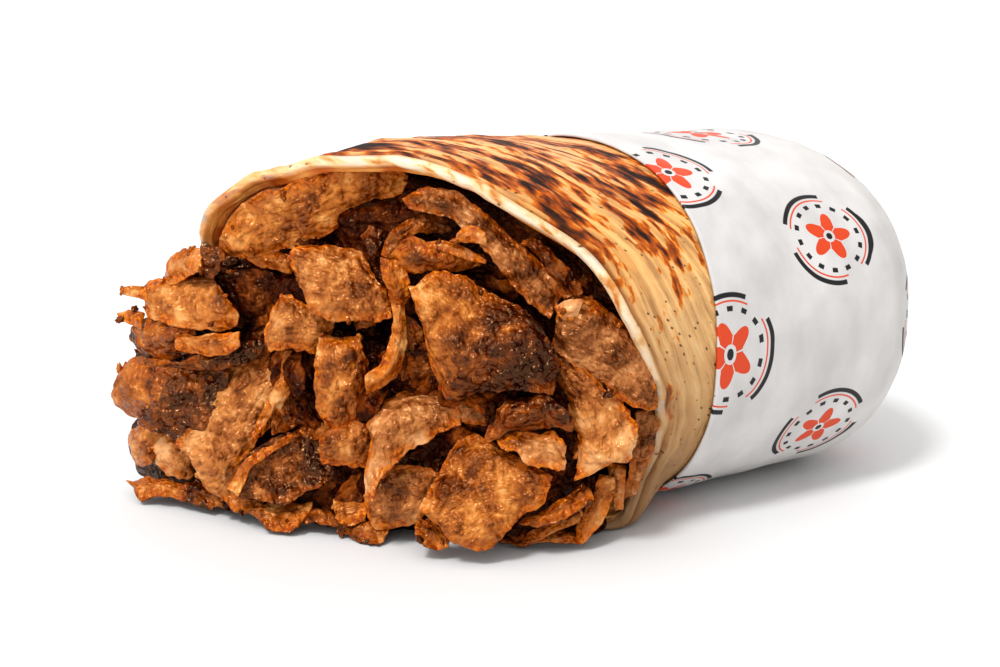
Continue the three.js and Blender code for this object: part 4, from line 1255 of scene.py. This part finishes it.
# %% Slices tucked in, and over the far side
def tucked_slices(count, seed):
    """Dark slices between the core and the ones that show."""
    draw = np.random.default_rng(seed)
    found = []
    while len(found) < count:
        along, height = draw.uniform(-62, 35), draw.uniform(4, 64)
        sideways = abs((along - MOUND_MIDDLE) / MOUND_HALF_WIDTH)
        upward = height / MOUND_HEIGHT
        inside = (sideways ** MOUND_SQUARENESS + upward ** MOUND_SQUARENESS) ** (1 / MOUND_SQUARENESS)
        if inside > 0.95:
            continue
        back = mound_plane(height)
        proud = back + (MOUND_REACH - back) * math.sqrt(1 - inside ** 6) - draw.uniform(2, GAP_DEPTH + 1)
        look = facing(along * 0.5 + draw.uniform(-20, 30), draw.uniform(-15, 35))
        middle = heap_point(along, height, proud)
        # The browns of 0.6 to 1 make these slices dark: painted shade in the gaps
        found.append(loose_slice(draw, middle, look, 200 + len(found), (0.6, 1.0)))
    return found


def far_side_slices(count, seed):
    """Slices over the end and the back of the mound, where it stands out past the far side of the bread."""
    draw = np.random.default_rng(seed)
    found = []
    for number in range(count):
        height = 46 * ((number + draw.uniform(0, 1)) / count) ** 1.3 + 2
        upward = height / MOUND_HEIGHT
        narrowed = (1 - upward ** MOUND_SQUARENESS) ** (1 / MOUND_SQUARENESS)
        end = MOUND_MIDDLE - MOUND_HALF_WIDTH * narrowed
        inward = draw.choice([0, 0, 6, 12, 18, 24]) + draw.uniform(-2, 2)
        at_end = inward < 3
        proud = mound_back(height) + (draw.uniform(-2, 3) if at_end else draw.uniform(-0.5, 1))
        look = facing((-130 if at_end else -170) + draw.uniform(-20, 20), draw.uniform(0, 40))
        middle = heap_point(end + max(inward, 0), height, proud)
        found.append(loose_slice(draw, middle, look, 400 + number, (0.2, 0.75)))
    return found


slices["shavings_tucked_in"] = tucked_slices(150, seed=5)
slices["shavings_far_side"] = far_side_slices(64, seed=9)
print("tucked in:", len(slices["shavings_tucked_in"]), "on the far side:", len(slices["shavings_far_side"]))


# %% How deep each point lies in the heap
# The material darkens what lies deep: painted shade in the gaps between slices
def deepened(skins):
    """Adds the layer "deep": 0 on top of the heap, 1 where slices stand 9 mm or more further out.

    The heap is looked at from in front, through a grid of cells 1 mm wide.
    """
    columns, rows = 160, 100
    cells = np.full((columns, rows), -99.0)
    spots = []
    for skin in skins:
        points = skin["points"]
        spot = (np.clip(points @ ALONG + 100, 0, columns - 1).astype(int),
                np.clip(points[:, 2] + 5, 0, rows - 1).astype(int))
        np.maximum.at(cells, spot, points @ OUT)
        spots.append(spot)
    shifts = list(itertools.product((-1, 0, 1), repeat=2))
    cover = np.max([np.roll(cells, shift, (0, 1)) for shift in shifts], axis=0)
    for _ in range(2):
        cover = np.mean([np.roll(cover, shift, (0, 1)) for shift in shifts], axis=0)
    for skin, spot in zip(skins, spots):
        skin["deep"] = smooth(cover[spot] - skin["points"] @ OUT, 2.5, 9)


heap = [skin for group in slices.values() for skin in group] + [core]
deepened(heap)
print("mean depth in the heap:", np.mean([skin["deep"].mean() for skin in heap]).round(2))


# %% [markdown]
# ### Crumbs
#
# Shaving and tossing leave torn bits that stick to the edges of the slices. Each is a small lump, pulled
# long and dented. They are set on points of the slices' own edges, so that each one sits on something.

# %% Crumbs on the edges
def crumb_skin(place, size, stretch, turn, number, brown):
    columns, rows = 12, 9
    angle = (2 * math.pi * np.arange(columns) / columns)[None, :]
    down = (math.pi * np.arange(rows) / (rows - 1))[:, None]
    ball = stack(np.sin(down) * np.cos(angle) * stretch, np.sin(down) * np.sin(angle),
                 np.cos(down) + 0 * angle)
    ball *= (1 + 0.6 * noise(ball + 9.0 * number, 0.8, 60))[..., None]
    cos, sin = math.cos(turn), math.sin(turn)
    spun = stack(ball[..., 0] * cos - ball[..., 2] * sin, ball[..., 1],
                 ball[..., 0] * sin + ball[..., 2] * cos)
    grid = place + spun * size / 2
    grid[..., 2] = np.maximum(grid[..., 2], 0.02)
    shape = grid.shape[:2]
    return closed_skin(grid, {"uv": stack(grid[..., 0], grid[..., 1])[..., :2],
                              "brown": np.full(shape, brown), "rim": np.full(shape, 0.5),
                              "gold": np.full(shape, 0.7), "deep": np.zeros(shape)})


def crumbs(count, seed):
    draw = np.random.default_rng(seed)
    shown = [skin for name, group in slices.items() if name != "shavings_tucked_in" for skin in group]
    bits = []
    for bit in range(count):
        skin = shown[draw.integers(len(shown))]
        edge = np.flatnonzero(skin["rim"] - skin["deep"] > 0.5)
        point = skin["points"][draw.choice(edge) if len(edge) else 0]
        bits.append(crumb_skin(point, draw.uniform(0.6, 1.5), draw.uniform(1, 2.2),
                               draw.uniform(0, 3.1), bit, draw.uniform(0.15, 0.8)))
    return joined(bits)


print("crumbs:", len(crumbs(5, 1)["points"]), "points for five")


# %% [markdown]
# ### Grilled meat, as a material
#
# Cooked, pressed meat is tan inside. Where the flame caught it, it runs from golden through brown to
# black. Its thin edges are amber: partly the colour of the fat soaked into them, partly a painted glow
# that stands in for light shining through them. What lies deep in the heap is coloured darker, as painted
# shade in the gaps. One "heat" value adds all of that up, with fibres along the slice, patches and fine
# mottling, and picks a colour from two ramps: golden or greyish pink by slice. The fat on it is brown
# with juice, so it gives small warm sparkles over the pebbly grain, between duller, drier patches.

# %% Fat-soaked grilled meat
# Each pattern adds to the heat: grain in mm, detail, how much
MOTTLING = {"patches": (4.6, 3.0, 1.5), "fine": (1.1, 2.0, 0.6)}


def meat_material(name, gloss):
    """The meat under a film of fat. `gloss` is its specular level: 0.5 is a bare surface, more is wetter."""
    material, tree, output = new_material(name)
    place = add(tree, "TexCoord").outputs["Object"]
    layer = {name: add(tree, "Attribute", attribute_name=name).outputs["Fac"]
             for name in ("brown", "rim", "gold", "deep")}
    sheet = add(tree, "UVMap", uv_map="mm")
    strands = add(tree, "Mapping", {"Vector": sheet, "Scale": (2.6, 0.8, 1)}, vector_type="TEXTURE")
    fibres = add(tree, "TexNoise", {"Vector": strands, "Scale": 1.0, "Detail": 2.0})
    # Painted shade: the deeper a point lies in the heap, the darker it is coloured
    heat = add(tree, "Math", {0: layer["deep"], 1: 0.2, 2: layer["brown"]}, operation="MULTIPLY_ADD")
    heat = add(tree, "Math", {0: fibres, 1: 0.25, 2: heat}, operation="MULTIPLY_ADD")
    heat = add(tree, "Math", {0: heat, 1: 0.1}, operation="SUBTRACT")

    # Browned meat is blotchier than pale meat; the last sum is kept between 0 and 1
    spread = add(tree, "MapRange", {"Value": layer["brown"], "From Min": 0.1, "From Max": 0.5, "To Min": 0.5,
                                    "To Max": 1.2})
    noises = {}
    for name, (size, detail, strength) in MOTTLING.items():
        noises[name] = add(tree, "TexNoise", {"Vector": place, "Scale": 1 / (size * MM), "Detail": detail})
        off = add(tree, "Math", {0: noises[name], 1: strength, 2: -0.5 * strength}, operation="MULTIPLY_ADD")
        heat = add(tree, "Math", {0: off, 1: spread, 2: heat}, operation="MULTIPLY_ADD",
                   use_clamp=name == "fine")
    golden = add(tree, "ValToRGB", {"Fac": heat}, stops=[
        (0.0, "#e3a25c"), (1.0, "#2c0701"), (0.16, "#ca7b30"), (0.34, "#a75a1a"),
        (0.52, "#803d0b"), (0.7, "#5d2504"), (0.86, "#441402")])
    greyish = add(tree, "ValToRGB", {"Fac": heat}, stops=[
        (0.0, "#daa376"), (1.0, "#2c0701"), (0.16, "#be804e"), (0.34, "#9a5e34"),
        (0.52, "#763f19"), (0.7, "#562607"), (0.86, "#401502")])
    face = add(tree, "Mix", {0: layer["gold"], 6: greyish, 7: golden}, data_type="RGBA")

    # Edges turn amber, unless they are charred or deep in the heap: partly the colour of the fat soaked into
    # them, partly a painted glow that stands in for light shining through the thin meat
    cool = add(tree, "MapRange", {"Value": heat, "From Min": 0.9, "From Max": 0.4, "To Max": 0.95})
    soaked_and_glowing = add(tree, "MapRange", {"Value": noises["patches"], "From Min": 0.36, "From Max": 0.56})
    amber = add(tree, "Math", {0: layer["rim"], 1: cool}, operation="MULTIPLY")
    amber = add(tree, "Math", {0: amber, 1: soaked_and_glowing}, operation="MULTIPLY")
    tone = add(tree, "ValToRGB", {"Fac": noises["fine"]}, stops=[(0.38, "#9c3c02"), (0.6, "#dd7a0c")])
    edged = add(tree, "Mix", {0: amber, 6: face, 7: tone}, data_type="RGBA")

    # Specks of spice and burnt fat, half a millimetre wide, thicker in some places than in others
    spice = add(tree, "TexNoise", {"Vector": place, "Scale": 1 / (0.6 * MM), "Detail": 1.0})
    spice = add(tree, "Math", {0: noises["patches"], 1: 0.5, 2: spice}, operation="MULTIPLY_ADD")
    speck = add(tree, "MapRange", {"Value": spice, "From Min": 0.93, "From Max": 1.0, "To Max": 0.6})
    speckled = add(tree, "Mix", {0: speck, 6: edged, 7: linear("#3d1a08")}, data_type="RGBA")

    # Grains of pressed meat a little over a millimetre wide, with furrows between, all wet with fat
    pebbles = add(tree, "TexVoronoi", {"Vector": place, "Scale": 1 / (1.4 * MM), "Smoothness": 0.9},
                  feature="SMOOTH_F1")
    furrows = add(tree, "TexNoise", {"Vector": place, "Scale": 1 / (2.6 * MM), "Detail": 2.0})
    height = add(tree, "Math", {0: pebbles, 1: -0.55, 2: furrows}, operation="MULTIPLY_ADD")
    height = add(tree, "Math", {0: fibres, 1: 0.3, 2: height}, operation="MULTIPLY_ADD")
    seared = add(tree, "MapRange", {"Value": heat, "From Max": 0.6, "To Min": 0.6, "To Max": 1.4})
    height = add(tree, "Math", {0: height, 1: seared}, operation="MULTIPLY")
    bump = add(tree, "Bump", {"Strength": 1.0, "Distance": 1.4 * MM, "Height": height})
    wet = add(tree, "MapRange", {"Value": noises["patches"], "From Min": 0.38, "From Max": 0.62,
                                 "To Min": 0.12, "To Max": 0.24})
    shader = add(tree, "BsdfPrincipled", {
        "Base Color": speckled, "Roughness": wet, "Normal": bump, "IOR": 1.47,
        "Specular IOR Level": gloss, "Specular Tint": linear("#ffc895"), "Subsurface Weight": 0.08,
        "Subsurface Radius": (1.0, 0.35, 0.12), "Subsurface Scale": 1.4 * MM})
    tree.links.new(shader.outputs[0], output.inputs["Surface"])
    return material


grilled_meat = meat_material("fat-soaked grilled meat", 1.0)
# The meat in the gaps is coloured dark as painted shade, and its specular level is low
dull_meat = meat_material("charred meat deep in the heap, dulled by dried juice", 0.3)
for name, group in slices.items():
    finish = dull_meat if name == "shavings_tucked_in" else grilled_meat
    make_piece(name, joined(group), finish, "kebab_meat")
make_piece("packed_core", core, dull_meat, "kebab_meat")
make_piece("meat_crumbs", crumbs(240, seed=3), grilled_meat, "kebab_meat")
